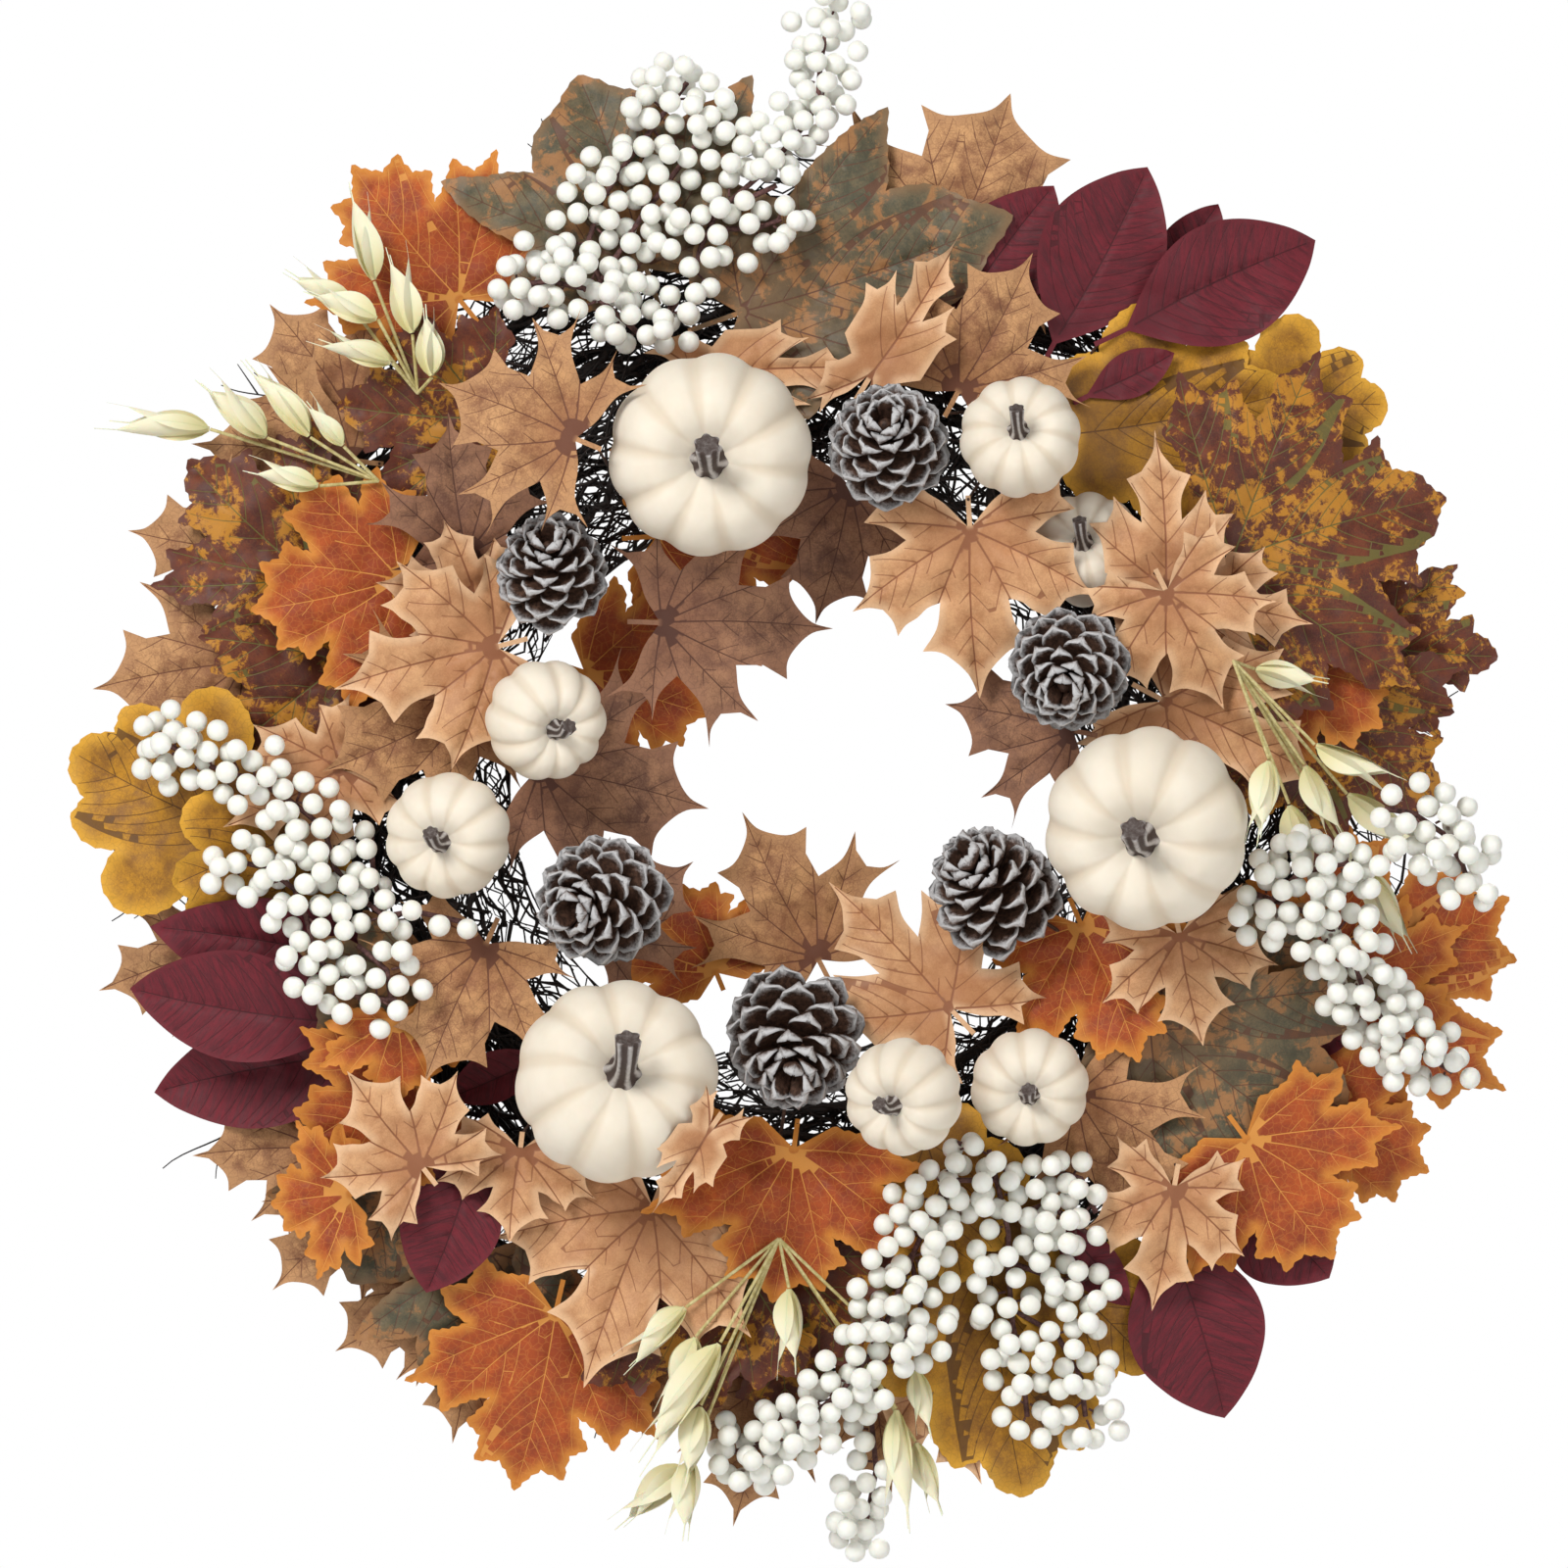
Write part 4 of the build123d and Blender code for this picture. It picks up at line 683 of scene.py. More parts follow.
def blade(leaf, chance):
    """The flat blade as points in mm and triangles, with its attributes."""
    outline = margin(leaf)
    mains, branches = vein_lines(leaf, outline)
    low, high = outline.min(axis=0), outline.max(axis=0)
    rows = []
    for r, v in enumerate(np.arange(low[1], high[1], point_pitch * 0.866)):
        shift = point_pitch / 2 * (r % 2)
        rows += [(u, v) for u in np.arange(low[0] + shift, high[0], point_pitch)]
    rows = np.array(rows) + chance.normal(0, 0.12 * point_pitch, (len(rows), 2))
    rows = rows[inside(outline, rows[:, 0], rows[:, 1])]
    border = (outline, np.roll(outline, -1, axis=0), np.ones(len(outline)))
    vein_runs, branch_runs = segments(mains, 0.45), segments(branches or mains, 0.55)
    rows = rows[nearest(rows, *border) > 0.5 * point_pitch]
    rows = rows[nearest(rows, vein_runs[0], vein_runs[1], 1.0) > 0.4 * point_pitch]
    rows = rows[nearest(rows, branch_runs[0], branch_runs[1], 1.0) > 0.3 * point_pitch]
    corners, edges = [Vector(p) for p in outline], []
    for line in mains + branches:
        count = len(corners)
        corners += [Vector(p) for p in line[1:]]
        edges += [(count + i, count + i + 1) for i in range(len(line) - 2)]
    corners += [Vector(p) for p in rows]
    found = delaunay_2d_cdt(corners, edges, [list(range(len(outline)))], 1, 1e-4)
    flat = np.array([tuple(p) for p in found[0]])
    triangles = np.array([f for f in found[2] if len(f) == 3])
    turn = twice_area(flat, triangles)
    triangles[turn < 0] = triangles[turn < 0][:, ::-1]
    triangles = triangles[np.abs(turn) > 1e-5]
    middle_of = flat[triangles].mean(axis=1)
    triangles = triangles[inside(outline, middle_of[:, 0], middle_of[:, 1])]
    used, triangles = np.unique(triangles, return_inverse=True)
    flat, triangles = flat[used], triangles.reshape(-1, 3)
    return flat, triangles, {
        "vein": nearest(flat, *vein_runs), "branch": nearest(flat, *branch_runs),
        "edge": nearest(flat, *border), "reach": np.linalg.norm(flat, axis=1) / leaf.length}


def relief(leaf, flat, fields, chance):
    """How far each point of the blade stands back from its plane, in mm."""
    fold, curl, wave, crease = leaf_bends[leaf.kind]
    length, reach = leaf.length, fields["reach"]
    blade_part = np.clip(reach / 0.25, 0, 1)
    back = -fold * chance.uniform(0.4, 1.5) * np.abs(flat[:, 0]) * blade_part
    back += curl * length * np.clip(reach - 0.35, 0, None) ** 2 * chance.uniform(0.4, 2.6)
    shift = chance.uniform(0, 50, 3)
    for i, (u, v) in enumerate(flat):
        rough = noise.noise(Vector((u, v, 0)) * (2.6 / length) + Vector(shift))
        fine = noise.noise(Vector((u, v, 0)) * (6.5 / length) + Vector(shift[::-1]))
        back[i] += (2.2 * rough + 0.8 * fine) * wave * length * blade_part[i]
    for tip in lobe_tips(leaf):
        way = tip / np.linalg.norm(tip)
        out = np.clip((flat @ way) / np.linalg.norm(tip) - 0.5, 0, 1)
        beside = np.abs(flat[:, 0] * way[1] - flat[:, 1] * way[0]) / length
        back += chance.uniform(-0.12, 0.30) * length * out ** 2 * np.exp(-(beside / 0.22) ** 2)
    back += crease * (np.exp(-(fields["vein"] / 1.6) ** 2) + 0.35 * np.exp(-(fields["branch"] / 2.2) ** 2))
    return back * blade_part


def draped(x, y, z, triangles, bed, ceiling):
    """y of a blade's points, moved no further than it takes to clear what is behind and in front."""
    gap = 0.45 * MM
    pairs = np.concatenate([triangles[:, [0, 1]], triangles[:, [1, 2]], triangles[:, [2, 0]]])
    count = np.bincount(pairs.ravel(), minlength=len(x))
    y = np.maximum(y, ceiling.at(x, z, np.maximum) + gap)
    needed = np.maximum(0, y - (bed.at(x, z) - gap))
    push = needed.copy()
    for _ in range(14):
        total = np.bincount(pairs[:, 0], push[pairs[:, 1]], len(x))
        total += np.bincount(pairs[:, 1], push[pairs[:, 0]], len(x))
        push = np.maximum(needed, 0.35 * push + 0.65 * total / np.maximum(count, 1))
    return y - push


def make_leaf(leaf, name, bed, ceiling, material, chance):
    flat, triangles, fields = blade(leaf, chance)
    x, z = leaf.in_space(flat)
    y = leaf.y_at(x, z) + relief(leaf, flat, fields, chance) * MM
    y = draped(x, np.minimum(y, bundle_back_y), z, triangles, bed, ceiling)
    points = np.column_stack([x, y, z])
    bed.lay(points, triangles)
    shade = chance.uniform(0, 40)
    cm = flat / 10
    fields["leaf_place"] = np.column_stack([cm, np.full(len(cm), shade)])
    slanted = np.abs(cm[:, 0]) * 0.85 + cm[:, 1] * 0.53
    across = cm[:, 1] * 0.85 - np.abs(cm[:, 0]) * 0.53
    fields["leaf_streak"] = np.column_stack([slanted * 0.35, across * 3.2, np.full(len(cm), shade)])
    piece = add_piece(name, points, triangles, material, [leaf.node], attributes=fields)
    return piece


# ------------------------------------------------------------------ pumpkins
class Ornament:
    """A pumpkin or cone of the CAD model: its centre, its axis towards the front, and its size."""

    def __init__(self, node):
        self.node = node
        points, triangles = node_mesh(node)
        a, b, c = (points[triangles[:, i]] for i in range(3))
        area = np.linalg.norm(np.cross(b - a, c - a), axis=1)
        spots = (a + b + c) / 3
        self.points, self.triangles = points, triangles
        self.centre = (spots * area[:, None]).sum(axis=0) / area.sum()
        away = spots - self.centre
        spread, ways = np.linalg.eigh((away * area[:, None]).T @ away / area.sum())
        odd = 0 if spread[1] - spread[0] > spread[2] - spread[1] else 2
        if "pine_cone" in node:
            ends = points[np.argsort(-np.bincount(triangles.ravel(), minlength=len(points)))[:2]]
            axis = unit(ends[0] - ends[1])
        else:
            axis = ways[:, odd]
        self.axis = axis if axis[1] < 0 else -axis
        along = (points - self.centre) @ self.axis
        self.low, self.high = along.min(), along.max()
        self.radius = np.linalg.norm(points - self.centre - np.outer(along, self.axis), axis=1).max()
        self.centre = self.centre + self.axis * (self.low + self.high) / 2
        self.height = self.high - self.low
        if "pumpkin" in node:  # its sections run from -0.49 to 0.42 of its height
            self.height /= 0.91
            self.centre = self.centre + self.axis * 0.035 * self.height


pumpkin_profile = [(0.00, -0.34), (0.16, -0.37), (0.34, -0.445), (0.55, -0.49), (0.78, -0.42), (0.93, -0.26),
                   (0.995, -0.04), (0.965, 0.17), (0.85, 0.34), (0.66, 0.455), (0.46, 0.475), (0.28, 0.43),
                   (0.15, 0.37), (0.06, 0.345), (0.00, 0.345)]


def make_pumpkin(item, material, chance):
    """A squat pumpkin of soft lobes, each a little different, with a dimple at both ends."""
    rib_count = 10
    profile = curve_through(pumpkin_profile, 5)
    columns = 16 * rib_count
    side, other = axes_round(item.axis)
    turns = np.arange(columns) * 2 * math.pi / columns
    phase = turns * rib_count / 2 / math.pi
    bulge = chance.uniform(0.75, 1.2, rib_count)[np.floor(phase).astype(int) % rib_count]
    from_groove = np.minimum(phase % 1, 1 - phase % 1)
    lobe = 1 - 0.5 * (0.5 + 0.5 * np.cos(2 * math.pi * phase)) - 0.5 * np.exp(-(from_groove / 0.15) ** 2)
    points, painted_groove_shades, dimples = [], [], []
    for r, h in profile:
        depth = (0.042 + 0.045 * abs(h) / 0.49) * min(1.0, r * 2.4)
        radii = r * item.radius * (1 - depth * (1 - lobe) * bulge)
        lift = (h + 0.02 * (lobe - 1) * np.sign(h) * min(1.0, r * 3)) * item.height * 0.985
        points.append(ring(item.centre, radii, turns, side, other) + np.outer(lift, item.axis))
        # painted shade: how deep in a groove each point lies, which darkens the skin there
        painted_groove_shades.append((1 - lobe) * min(1.0, r * 2))
        dimples.append(np.full(columns, np.clip(1 - r / 0.22, 0, 1)))
    faces = grid_faces(len(profile), columns, around=True)
    return add_piece(f"skin_{item.node}", np.concatenate(points), faces, material, [item.node],
                     attributes={"painted_groove_shade": np.concatenate(painted_groove_shades), "dimple": np.concatenate(dimples)})


def make_stalk(item, stalks, material, node):
    """A fluted dry stalk with a flared foot, bent the way its CAD solid bends."""
    points = min(stalks, key=lambda s: np.linalg.norm(s[0].mean(axis=0) - item.centre))[0]
    foot = item.centre + item.axis * ((points - item.centre) @ item.axis).min()
    along = (points - foot) @ item.axis
    top = points[along > 0.85 * along.max()].mean(axis=0)
    reach = np.linalg.norm(top - foot)
    swing = (top - foot) - item.axis * ((top - foot) @ item.axis)
    path = curve_through([foot, foot + item.axis * reach * 0.34 + swing * 0.06,
                          foot + item.axis * reach * 0.68 + swing * 0.45, top + swing * 0.28], 7)
    off_axis = np.linalg.norm(points - foot - np.outer(along, item.axis), axis=1)
    base = off_axis[along < 0.1 * along.max()].max()
    t = np.linspace(0, 1, len(path))
    radii = base * (0.50 + 0.62 * np.exp(-t * 7) + 0.16 * t ** 3)
    columns = 42
    flutes = 6
    turns = np.arange(columns) * 2 * math.pi / columns
    rings, ridges = [], []
    way = np.gradient(path, axis=0)
    side = axes_round(unit(way[0]))[0]
    for share, place, direction, radius in zip(t, path, way, radii):
        direction = unit(direction)
        side = unit(side - direction * (side @ direction))
        flute = 0.5 + 0.5 * np.cos(flutes * turns + 1.6 * share)
        rings.append(ring(place, radius * (0.80 + 0.24 * flute), turns, side, np.cross(direction, side)))
        ridges.append(flute * 0.75)
    rim = rings[-1] - path[-1]
    for shrink, sink in ((0.82, 0.02), (0.45, -0.05), (0.0, -0.06)):
        rings.append(path[-1] + rim * shrink + unit(way[-1]) * sink * radii[-1] * 2)
        ridges.append(np.full(columns, 0.35))
    faces = grid_faces(len(rings), columns, around=True)
    return add_piece(f"stalk_{item.node}", np.concatenate(rings), faces, material, [node],
                     attributes={"ridge": np.concatenate(ridges)})


# ------------------------------------------------------------------ cones
def cone_scale(length, width, thick):
    """One scale: a cupped wedge, narrow at its root and blunt at its tip. Length along X, up along Z."""
    rows, columns = 8, 7
    top, bottom, frost = [], [], []
    for r in range(rows):
        t = r / (rows - 1)
        wide = width * (0.34 + 0.66 * math.sin(math.pi * min(1.0, 0.10 + 0.62 * t)) ** 1.2)
        wide *= math.sqrt(max(0.0, 1 - max(0.0, (t - 0.72) / 0.285) ** 2.4))
        for c in range(columns):
            s = 2 * c / (columns - 1) - 1
            lift = 0.10 * length * t ** 2 + 0.22 * width * s * s * (0.3 + t) * 0.5
            body = thick * (0.35 + 0.95 * t ** 2) * (1 - 0.55 * s * s)
            ridge = 0.35 * thick * math.exp(-(s / 0.35) ** 2) * t
            top.append((t * length, s * wide / 2, lift + ridge))
            bottom.append((t * length, s * wide / 2, lift - body))
            frost.append(np.clip((t - 0.45) / 0.55, 0, 1) * 0.75 + 0.35 * abs(s) ** 3 * min(1.0, t * 1.6))
    count = rows * columns
    faces = grid_faces(rows, columns)
    faces += [tuple(count + i for i in face[::-1]) for face in grid_faces(rows, columns)]
    border = ([c for c in range(columns)] + [r * columns + columns - 1 for r in range(1, rows)]
              + [(rows - 1) * columns + c for c in range(columns - 2, -1, -1)]
              + [r * columns for r in range(rows - 2, 0, -1)])
    for a, b in zip(border, border[1:] + border[:1]):
        faces.append((b, a, count + a, count + b))
    frost = np.array(frost)
    return np.array(top + bottom), faces, np.concatenate([frost, frost * 0.75])


def make_cone(item, material, chance):
    """A pine cone: scales in a golden-angle spiral on a core, open at its back and closing to its tip."""
    pool = Pool()
    side, other = axes_round(item.axis)
    count = 56
    radius, height = item.radius, item.height
    for k in range(count):
        s = (k + 0.5) / count
        turn = k * golden_angle + chance.normal(0, 0.05)
        envelope = radius * (0.90 + 0.5 * s - 1.30 * s ** 2.1) if s < 0.9 else radius * 0.32
        envelope = min(envelope, radius * 0.99)
        tilt = math.radians(104 - 84 * s ** 1.25 + chance.normal(0, 2.5))
        core = 0.20 * envelope
        length = (envelope - core) / max(math.sin(tilt), 0.42)
        root = item.centre + item.axis * height * (-0.36 + 0.62 * s)
        outward = math.cos(turn) * side + math.sin(turn) * other
        aim = outward * math.sin(tilt) + item.axis * math.cos(tilt)
        up = item.axis * math.sin(tilt) - outward * math.cos(tilt)
        width = radius * (0.60 - 0.30 * s) * chance.uniform(0.9, 1.1)
        points, faces, frost = cone_scale(length, width, radius * 0.10)
        across = np.cross(up, aim)
        placed = root + core * outward + points @ np.array([aim, across, up])
        pool.add(placed, faces, frost=frost)
    core_path = [item.centre + item.axis * height * t for t in np.linspace(-0.44, 0.34, 9)]
    core_sizes = radius * np.array([0.20, 0.3, 0.32, 0.32, 0.3, 0.27, 0.22, 0.16, 0.06])
    pool.add(*tube(core_path, core_sizes, 10), frost=0.0)
    return pool.piece(f"scales_{item.node}", material, "cone_scale", [item.node])


# ------------------------------------------------------------------ berries and oats
def unit_ball(cuts):
    """Points and faces of a round ball, as a subdivided icosahedron."""
    ball = bmesh.new()
    bmesh.ops.create_icosphere(ball, subdivisions=cuts, radius=1.0)
    points = np.array([tuple(v.co) for v in ball.verts])
    faces = [tuple(v.index for v in f.verts) for f in ball.faces]
    ball.free()
    return points, faces


def crowd(centres, radius, bed, chance):
    """More berries between the CAD ones, none through another or through what lies behind."""
    found = list(centres)
    for _ in range(24 * len(centres)):
        away = unit(chance.normal(0, 1, 3) * (1.0, 0.7, 1.0)) * chance.uniform(1.95, 2.5) * radius
        spot = found[chance.integers(len(centres))] + away
        behind = bed.at(spot[0] + radius * np.array([0, 0.7, -0.7, 0, 0]),
                        spot[2] + radius * np.array([0, 0, 0, 0.7, -0.7])).min()
        too_far_forward = spot[1] < centres[:, 1].min() - 0.5 * radius
        between = (np.linalg.norm(centres - spot, axis=1) < 2.75 * radius).sum() > 1
        if too_far_forward or not between or spot[1] + radius > behind:
            continue
        if np.linalg.norm(np.array(found) - spot, axis=1).min() > 1.93 * radius:
            found.append(spot)
    return found


def make_berries(node, stems, bed, material, chance):
    """Berries where the CAD spheres are and between them, each with a dot where its pedicel enters."""
    ball, faces = unit_ball(3)
    pool = Pool()
    spheres = [points for points, _ in solids(node)]
    centres = np.array([(points.min(axis=0) + points.max(axis=0)) / 2 for points in spheres])
    radius = max(np.ptp(points, axis=0).max() for points in spheres) / 2
    for centre in crowd(centres, radius, bed, chance):
        towards = unit(stems[np.argmin(np.linalg.norm(stems - centre, axis=1))] - centre)
        squash = chance.uniform(0.0, 0.05)
        facing = ball @ towards
        bumps = 1 + 0.012 * np.sin(ball @ chance.uniform(-4, 4, 3) + chance.uniform(0, 6))
        dent = 0.10 * np.clip((facing - 0.93) / 0.07, 0, 1) ** 2
        shape = ball * (bumps - squash * facing ** 2 - dent)[:, None]
        pool.add(centre + radius * chance.uniform(0.93, 1.0) * shape, faces, calyx=facing)
    return pool.piece(f"skin_{node}", material, "berry_skin", [node])


def make_oats(node, material, chance):
    """Husks where the CAD spindles are: each three cupped bracts that part and end in long points."""
    rows, columns = 16, 7
    pool = Pool()
    for points, _ in solids(node):
        away = points - points.mean(axis=0)
        way = np.linalg.eigh(away.T @ away)[1][:, 2]
        t = points @ way
        low, high = points[t < t.min() + 2 * MM], points[t > t.max() - 2 * MM]
        base, tip = low.mean(axis=0), high.mean(axis=0)
        widest = t[np.argmax(np.linalg.norm(away - np.outer(away @ way, way), axis=1))]
        if widest > (t.min() + t.max()) / 2:
            base, tip = tip, base
        length = np.linalg.norm(tip - base)
        axis = unit(tip - base)
        side, other = axes_round(axis, (0.0, 1.0, 0.1))
        for bract in range(3):
            turn = bract * 2.1 + chance.uniform(-0.4, 0.4)
            out = math.cos(turn) * side + math.sin(turn) * other
            beside = np.cross(axis, out)
            opening = math.radians(chance.uniform(3, 15))
            size = length * chance.uniform(0.86, 1.0)
            half = min(6.8 * MM, 0.17 * length) * chance.uniform(0.85, 1.1)
            grid, across, along = [], [], []
            for r in range(rows):
                s = r / (rows - 1)
                wide = half * (math.sin(math.pi * min(1, s * 1.25) ** 0.8) if s < 0.8 else 0.0) + 0.22 * MM
                wide += half * 0.10 * max(0.0, 1 - s)
                for c in range(columns):
                    e = 2 * c / (columns - 1) - 1
                    lean = out * (size * (s * math.sin(opening) * (1 - 0.35 * s)) + 1.1 * MM)
                    cup = out * (-0.55 * wide * e * e)
                    grid.append(base + axis * size * s + lean + cup + beside * wide * e)
                    across.append((e * 4, s * length * 10, bract))
                    along.append(s)
            pool.add(grid, grid_faces(rows, columns), husk_place=across, along=along)
    return pool.piece(f"husks_{node}", material, "oat_husk", [node])


# ------------------------------------------------------------------ twigs
def ring_twig(chance, low, high, front, back, turns):
    """A thin crooked twig that wanders round the ring, between two radii and two depths."""
    start, sweep = chance.uniform(0, 2 * math.pi), chance.uniform(*turns) * chance.choice([-1, 1])
    radius, y = chance.uniform(low, high), chance.uniform(front, back)
    drift = chance.uniform(-0.35, 0.35) * (high - low)
    count = max(6, int(abs(sweep) * radius / (5 * MM)))
    t = np.linspace(0, 1, count)
    r = radius + drift * t
    depth = np.full(count, y)
    for waves, size in ((2.5, 5.0), (6.0, 2.6), (13.0, 1.3)):
        r = r + size * MM * np.sin(waves * t * chance.uniform(1.5, 4) + chance.uniform(0, 6))
        depth = depth + 0.6 * size * MM * np.sin(waves * t * chance.uniform(1.5, 4) + chance.uniform(0, 6))
    r, depth = np.clip(r, low, high), np.clip(depth, front, back)
    angle = start + sweep * t
    path = np.column_stack([middle.x + r * np.cos(angle), depth, middle.z + r * np.sin(angle)])
    return path, chance.uniform(0.42, 0.95) * MM * (1 - 0.55 * t)


def cross_twig(chance, low, high, front, back):
    """A short crooked twig that runs across the bundle."""
    angle = chance.uniform(0, 2 * math.pi)
    size = chance.uniform(0.4, 1.0) * (high - low)
    start = chance.uniform(low, high - size)
    count = max(5, int(size / (5 * MM)))
    t = np.linspace(0, 1, count)
    r = start + size * t
    bend = chance.uniform(-0.35, 0.35) * t + 0.03 * np.sin(7 * t + chance.uniform(0, 6))
    depth = np.clip(chance.uniform(front, back) + 5 * MM * np.sin(4 * t + chance.uniform(0, 6)), front, back)
    path = np.column_stack([middle.x + r * np.cos(angle + bend), depth, middle.z + r * np.sin(angle + bend)])
    return path, chance.uniform(0.40, 0.8) * MM * (1 - 0.6 * t)


def make_twigs(material, chance):
    """The tangle of thin dark twigs that the ring is wound from, round thicker canes."""
    inner, outer = ring_radius - bundle_half_width, bundle_outer
    front, back, behind = bundle_front_y + 5 * MM, bundle_back_y - 6 * MM, middle.y - 5 * MM
    # Each layer: how many twigs, their kind, their thickness, and the radii, depths and turns they keep to.
    tangles = {
        ("twig_core", 6): [
            (300, ring_twig, 2.6,
             (inner - 4 * MM, outer - 6 * MM, front + 7 * MM, back - 4 * MM, (0.3, 1.0)))],
        ("twig_tangle", 4): [
            (760, ring_twig, 1.0, (inner - 6 * MM, outer + 2 * MM, front, back, (0.25, 0.9)))],
        ("twig_crossings", 4): [
            (520, cross_twig, 1.0, (inner - 8 * MM, outer + 2 * MM, front, back)),
            (430, ring_twig, 1.0, (inner - 26 * MM, inner + 6 * MM, middle.y, back, (0.2, 0.7))),
            (240, ring_twig, 1.0, (outer - 6 * MM, outer + 30 * MM, behind, back, (0.12, 0.4))),
            (240, cross_twig, 1.0, (outer - 10 * MM, outer + 34 * MM, behind, back))],
    }
    for (name, sides), layers in tangles.items():
        pool = Pool()
        for count, twig, thickness, limits in layers:
            for _ in range(count):
                path, radii = twig(chance, *limits)
                pool.add(*tube(path, thickness * radii, sides))
        pool.piece(name, material, "twig_black", ["vine_canes_front", "vine_canes_back", "vine_wraps"])


def make_strays(material, chance):
    """Curly twig ends that stand out of the ring, each where a CAD one is, with side shoots."""
    pool = Pool()
    for points, _ in solids("stray_twigs"):
        away = np.hypot(points[:, 0] - middle.x, points[:, 2] - middle.z)
        start, end = points[np.argmin(away)], points[np.argmax(away)]
        run = end - start
        beside = unit(np.cross(run, (0, 1, 0)))
        t = np.linspace(0, 1, 16)[:, None]
        swing = chance.uniform(0.05, 0.13) * np.linalg.norm(run)
        path = start + run * t + beside * swing * np.sin(5.2 * t + chance.uniform(0, 6)) * t
        path = path + np.array([0, 1, 0]) * 2 * MM * np.sin(6 * t)
        pool.add(*tube(path, 0.62 * MM * (1 - 0.6 * t[:, 0]), 6))
        for _ in range(3):
            fork = path[chance.integers(4, 13)]
            way = unit(unit(run) + beside * chance.uniform(-1.3, 1.3))
            size = chance.uniform(0.18, 0.4) * np.linalg.norm(run)
            curl = unit(np.cross(way, (0, 1, 0))) * chance.uniform(-0.35, 0.35) * size
            s = np.linspace(0, 1, 8)[:, None]
            pool.add(*tube(fork + way * size * s + curl * s ** 2, 0.42 * MM * (1 - 0.5 * s[:, 0]), 5))
    return pool.piece("twig_strays", material, "twig_black", ["stray_twigs"])


# ------------------------------------------------------------------ laying the pieces in order
def stacking_order(items, footprints):
    """The items from back to front: where two footprints overlap, the one behind comes first."""
    count = len(items)
    behind = [set() for _ in range(count)]
    for i in range(count):
        for k in range(i + 1, count):
            both = footprints[i][0] & footprints[k][0]
            if both.any():
                ahead = (footprints[i][1][both] - footprints[k][1][both]).mean() > 0
                first, second = (i, k) if ahead else (k, i)
                behind[second].add(first)
    depth = [float(y[mask].mean()) for mask, y in footprints]
    order, waiting = [], set(range(count))
    while waiting:
        ready = [i for i in waiting if not behind[i] & waiting] or list(waiting)
        chosen = max(ready, key=lambda i: depth[i])
        order.append(chosen)
        waiting.remove(chosen)
    return order, behind


def build():
    chance = np.random.default_rng(seed)
    materials = {kind: leaf_material(kind) for kind in leaf_looks}
    leaves = [Leaf(node, *solid) for kind in leaf_looks for node in nodes_named(f"{kind}_leaves")
              for solid in solids(node)]
    pumpkins = [Ornament(n) for n in nodes_named("large_pumpkin_") + nodes_named("small_pumpkin_")
                if not n.endswith("stalks")]
    cones = [Ornament(n) for n in nodes_named("pine_cone_")]
    items = leaves + pumpkins + cones

    bed = Bed(bundle_back_y - 8 * MM)
    x, z = bed.places()
    on_ring = np.abs(np.hypot(x - middle.x, z - middle.z) - ring_radius) < bundle_half_width + 2 * MM
    bed.y[on_ring] = bundle_front_y + 1 * MM
    footprints, backs = [], {}
    for number, item in enumerate(items):
        if isinstance(item, Leaf):
            mask = inside(item.outline, x, z)
            footprints.append((mask, item.y_at(x, z)))
            continue
        mask = np.hypot(x - item.centre[0], z - item.centre[2]) < item.radius * 0.9
        footprints.append((mask, np.full(x.shape, item.centre[1])))
        back = Bed(-1.0)
        back.lay(item.points, item.triangles, np.maximum)
        backs[number] = back
    order, behind = stacking_order(items, footprints)

    counts = {}
    for number in order:
        item = items[number]
        if not isinstance(item, Leaf):
            bed.lay(item.points, item.triangles)
            continue
        ceiling = Bed(-1.0)
        for k, back in backs.items():
            if number in behind[k]:
                ceiling.y = np.maximum(ceiling.y, back.y)
        counts[item.kind] = counts.get(item.kind, 0) + 1
        name = f"{item.kind}_leaf_{counts[item.kind]:02d}"
        make_leaf(item, name, bed, ceiling, materials[item.kind], chance)

    skin, bark = pumpkin_material(), stalk_material()
    stalks = {name: solids(name) for name in ("large_pumpkin_stalks", "small_pumpkin_stalks")}
    for item in pumpkins:
        node = "large_pumpkin_stalks" if item.node.startswith("large") else "small_pumpkin_stalks"
        make_pumpkin(item, skin, chance)
        make_stalk(item, stalks[node], bark, node)
    scale = cone_material()
    for item in cones:
        make_cone(item, scale, chance)

    stems = node_mesh("berry_stems")[0]
    berry, husk = berry_material(), husk_material()
    for node in nodes_named("berries_"):
        make_berries(node, stems, bed, berry, chance)
    for node in nodes_named("oats_"):
        make_oats(node, husk, chance)
    twig = bark_material("twig_black", (14, 11, 10), (52, 42, 38), 500.0)
    make_twigs(twig, chance)
    make_strays(twig, chance)

    kept = {
        "frame_ring": bark_material("frame_steel", (24, 22, 22), (48, 45, 44), 260.0, 0.5),
        "hanger_clip": bark_material("clip_steel", (30, 30, 31), (56, 55, 55), 260.0, 0.48),
        "hanging_loop": bark_material("loop_steel", (142, 142, 146), (186, 186, 190), 320.0, 0.3, 1.0, 0.08),
        "pumpkin_picks": bark_material("pick_wood", (148, 112, 76), (196, 160, 116), 380.0),
        "cone_wires": bark_material("wire_brown", (52, 34, 26), (92, 64, 48), 600.0),
        "berry_stems": bark_material("berry_stem", (64, 40, 38), (122, 84, 80), 520.0),
        "oat_stems": bark_material("oat_stem", (176, 160, 96), (216, 204, 150), 420.0, 0.6),
    }
    kept["leaf_wires"] = kept["cone_wires"]
    for node, material in kept.items():
        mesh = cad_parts[node].data
        mesh.materials.clear()
        mesh.materials.append(material)


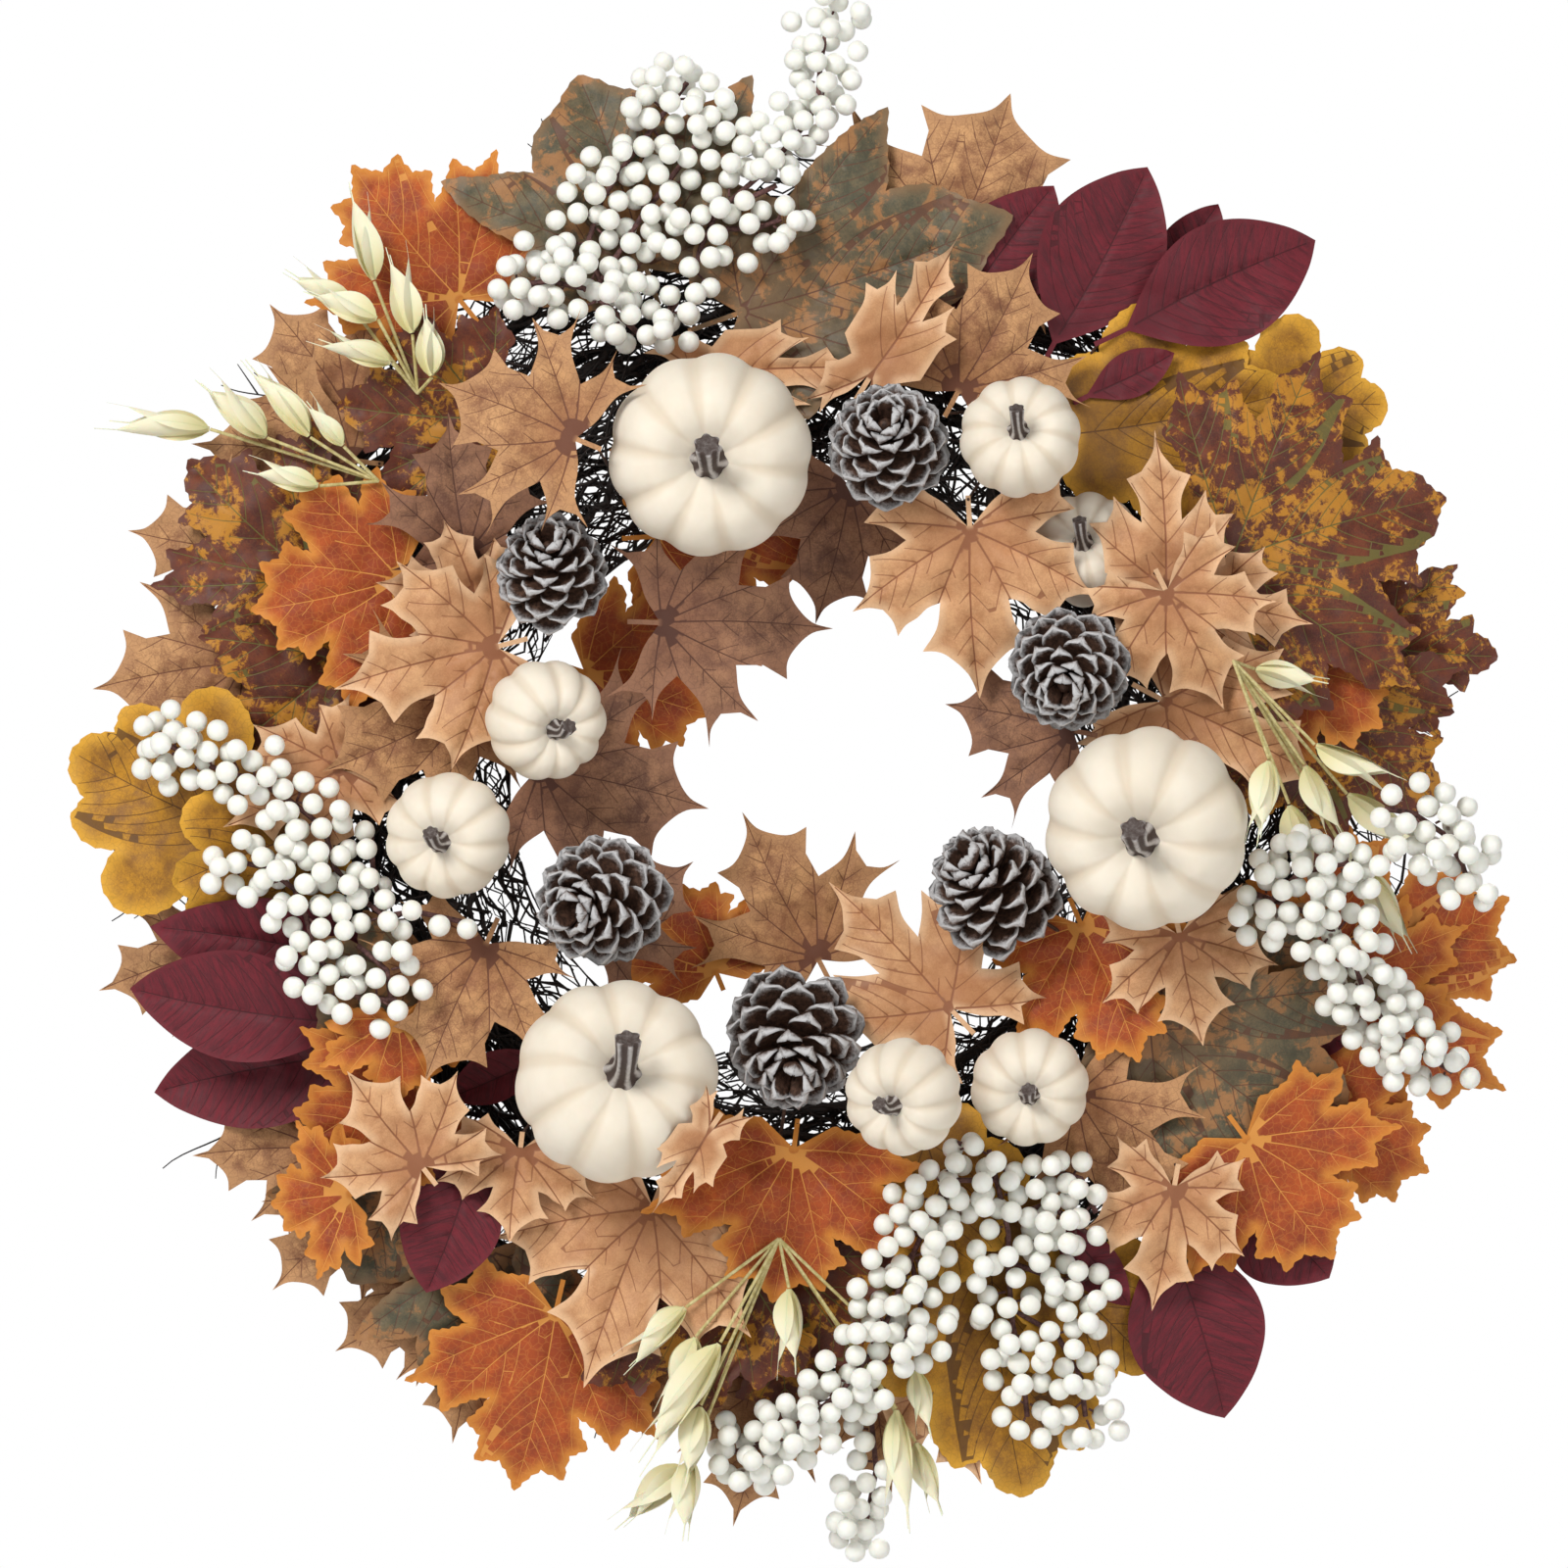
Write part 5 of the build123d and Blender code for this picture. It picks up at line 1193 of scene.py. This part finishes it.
# ------------------------------------------------------------------ camera, floor and light
# In metres: the picture's span at the wreath, the camera's distance, and the floor below the lowest leaf.
view_width, camera_distance, floor_drop = 0.64, 5.0, 0.22
glow_strength = 0.36
# Each lamp's name, place, size in metres and power in watts.
lamps = [("key", (-1.5, -2.6, 1.6), 1.3, 84.0), ("fill", (2.2, -2.4, 0.2), 1.8, 20.0),
         ("back", (0.8, 2.6, 1.4), 1.8, 34.0)]


def stage_set():
    camera = bpy.data.objects.new("camera", bpy.data.cameras.new("camera"))
    camera.data.sensor_width = 36.0
    camera.data.lens = camera.data.sensor_width * camera_distance / view_width
    camera.data.clip_start, camera.data.clip_end = 0.5, 60.0
    pile_middle_y = (cad_bounds[0].y + middle.y) / 2
    camera.location = (middle.x, pile_middle_y - camera_distance, middle.z)
    camera.rotation_euler = (math.radians(90), 0, 0)
    bpy.context.scene.collection.objects.link(camera)
    bpy.context.scene.camera = camera

    floor_z = cad_bounds[0].z - floor_drop
    corners = [(-9, -13, floor_z), (9, -13, floor_z), (9, 2.8, floor_z), (-9, 2.8, floor_z)]
    mesh = bpy.data.meshes.new("floor")
    mesh.from_pydata(corners, [], [(0, 1, 2, 3)])
    shader = Shader("floor_paint", Specular_IOR_Level=0.1)
    tint = shader.noise(shader.place(), 3.0, 2.0)
    mesh.materials.append(shader.finish(shader.mix(tint, (0.86, 0.86, 0.86, 1), (0.9, 0.9, 0.89, 1)), 0.9))
    floor = bpy.data.objects.new("floor", mesh)
    bpy.context.scene.collection.objects.link(floor)

    for name, place, size, power in lamps:
        lamp = bpy.data.objects.new(name, bpy.data.lights.new(name, "AREA"))
        lamp.data.size, lamp.data.energy = size, power
        lamp.location = place
        aim = Vector((middle.x, middle.y, middle.z)) - Vector(place)
        lamp.rotation_euler = aim.to_track_quat("-Z", "Y").to_euler()
        bpy.context.scene.collection.objects.link(lamp)

    world = bpy.data.worlds.new("studio")
    bpy.context.scene.world = world
    world.use_nodes = True
    tree = world.node_tree
    white = tree.nodes["Background"]
    white.inputs["Color"].default_value = (1, 1, 1, 1)
    white.inputs["Strength"].default_value = 1.0
    glow = tree.nodes.new("ShaderNodeBackground")
    glow.inputs["Color"].default_value = (0.97, 0.98, 1, 1)
    glow.inputs["Strength"].default_value = glow_strength
    path = tree.nodes.new("ShaderNodeLightPath")
    either = tree.nodes.new("ShaderNodeMixShader")
    tree.links.new(path.outputs["Is Camera Ray"], either.inputs[0])
    tree.links.new(glow.outputs[0], either.inputs[1])
    tree.links.new(white.outputs[0], either.inputs[2])
    tree.links.new(either.outputs[0], tree.nodes["World Output"].inputs["Surface"])
    bpy.context.scene.view_settings.view_transform = "Standard"


build()
stage_set()
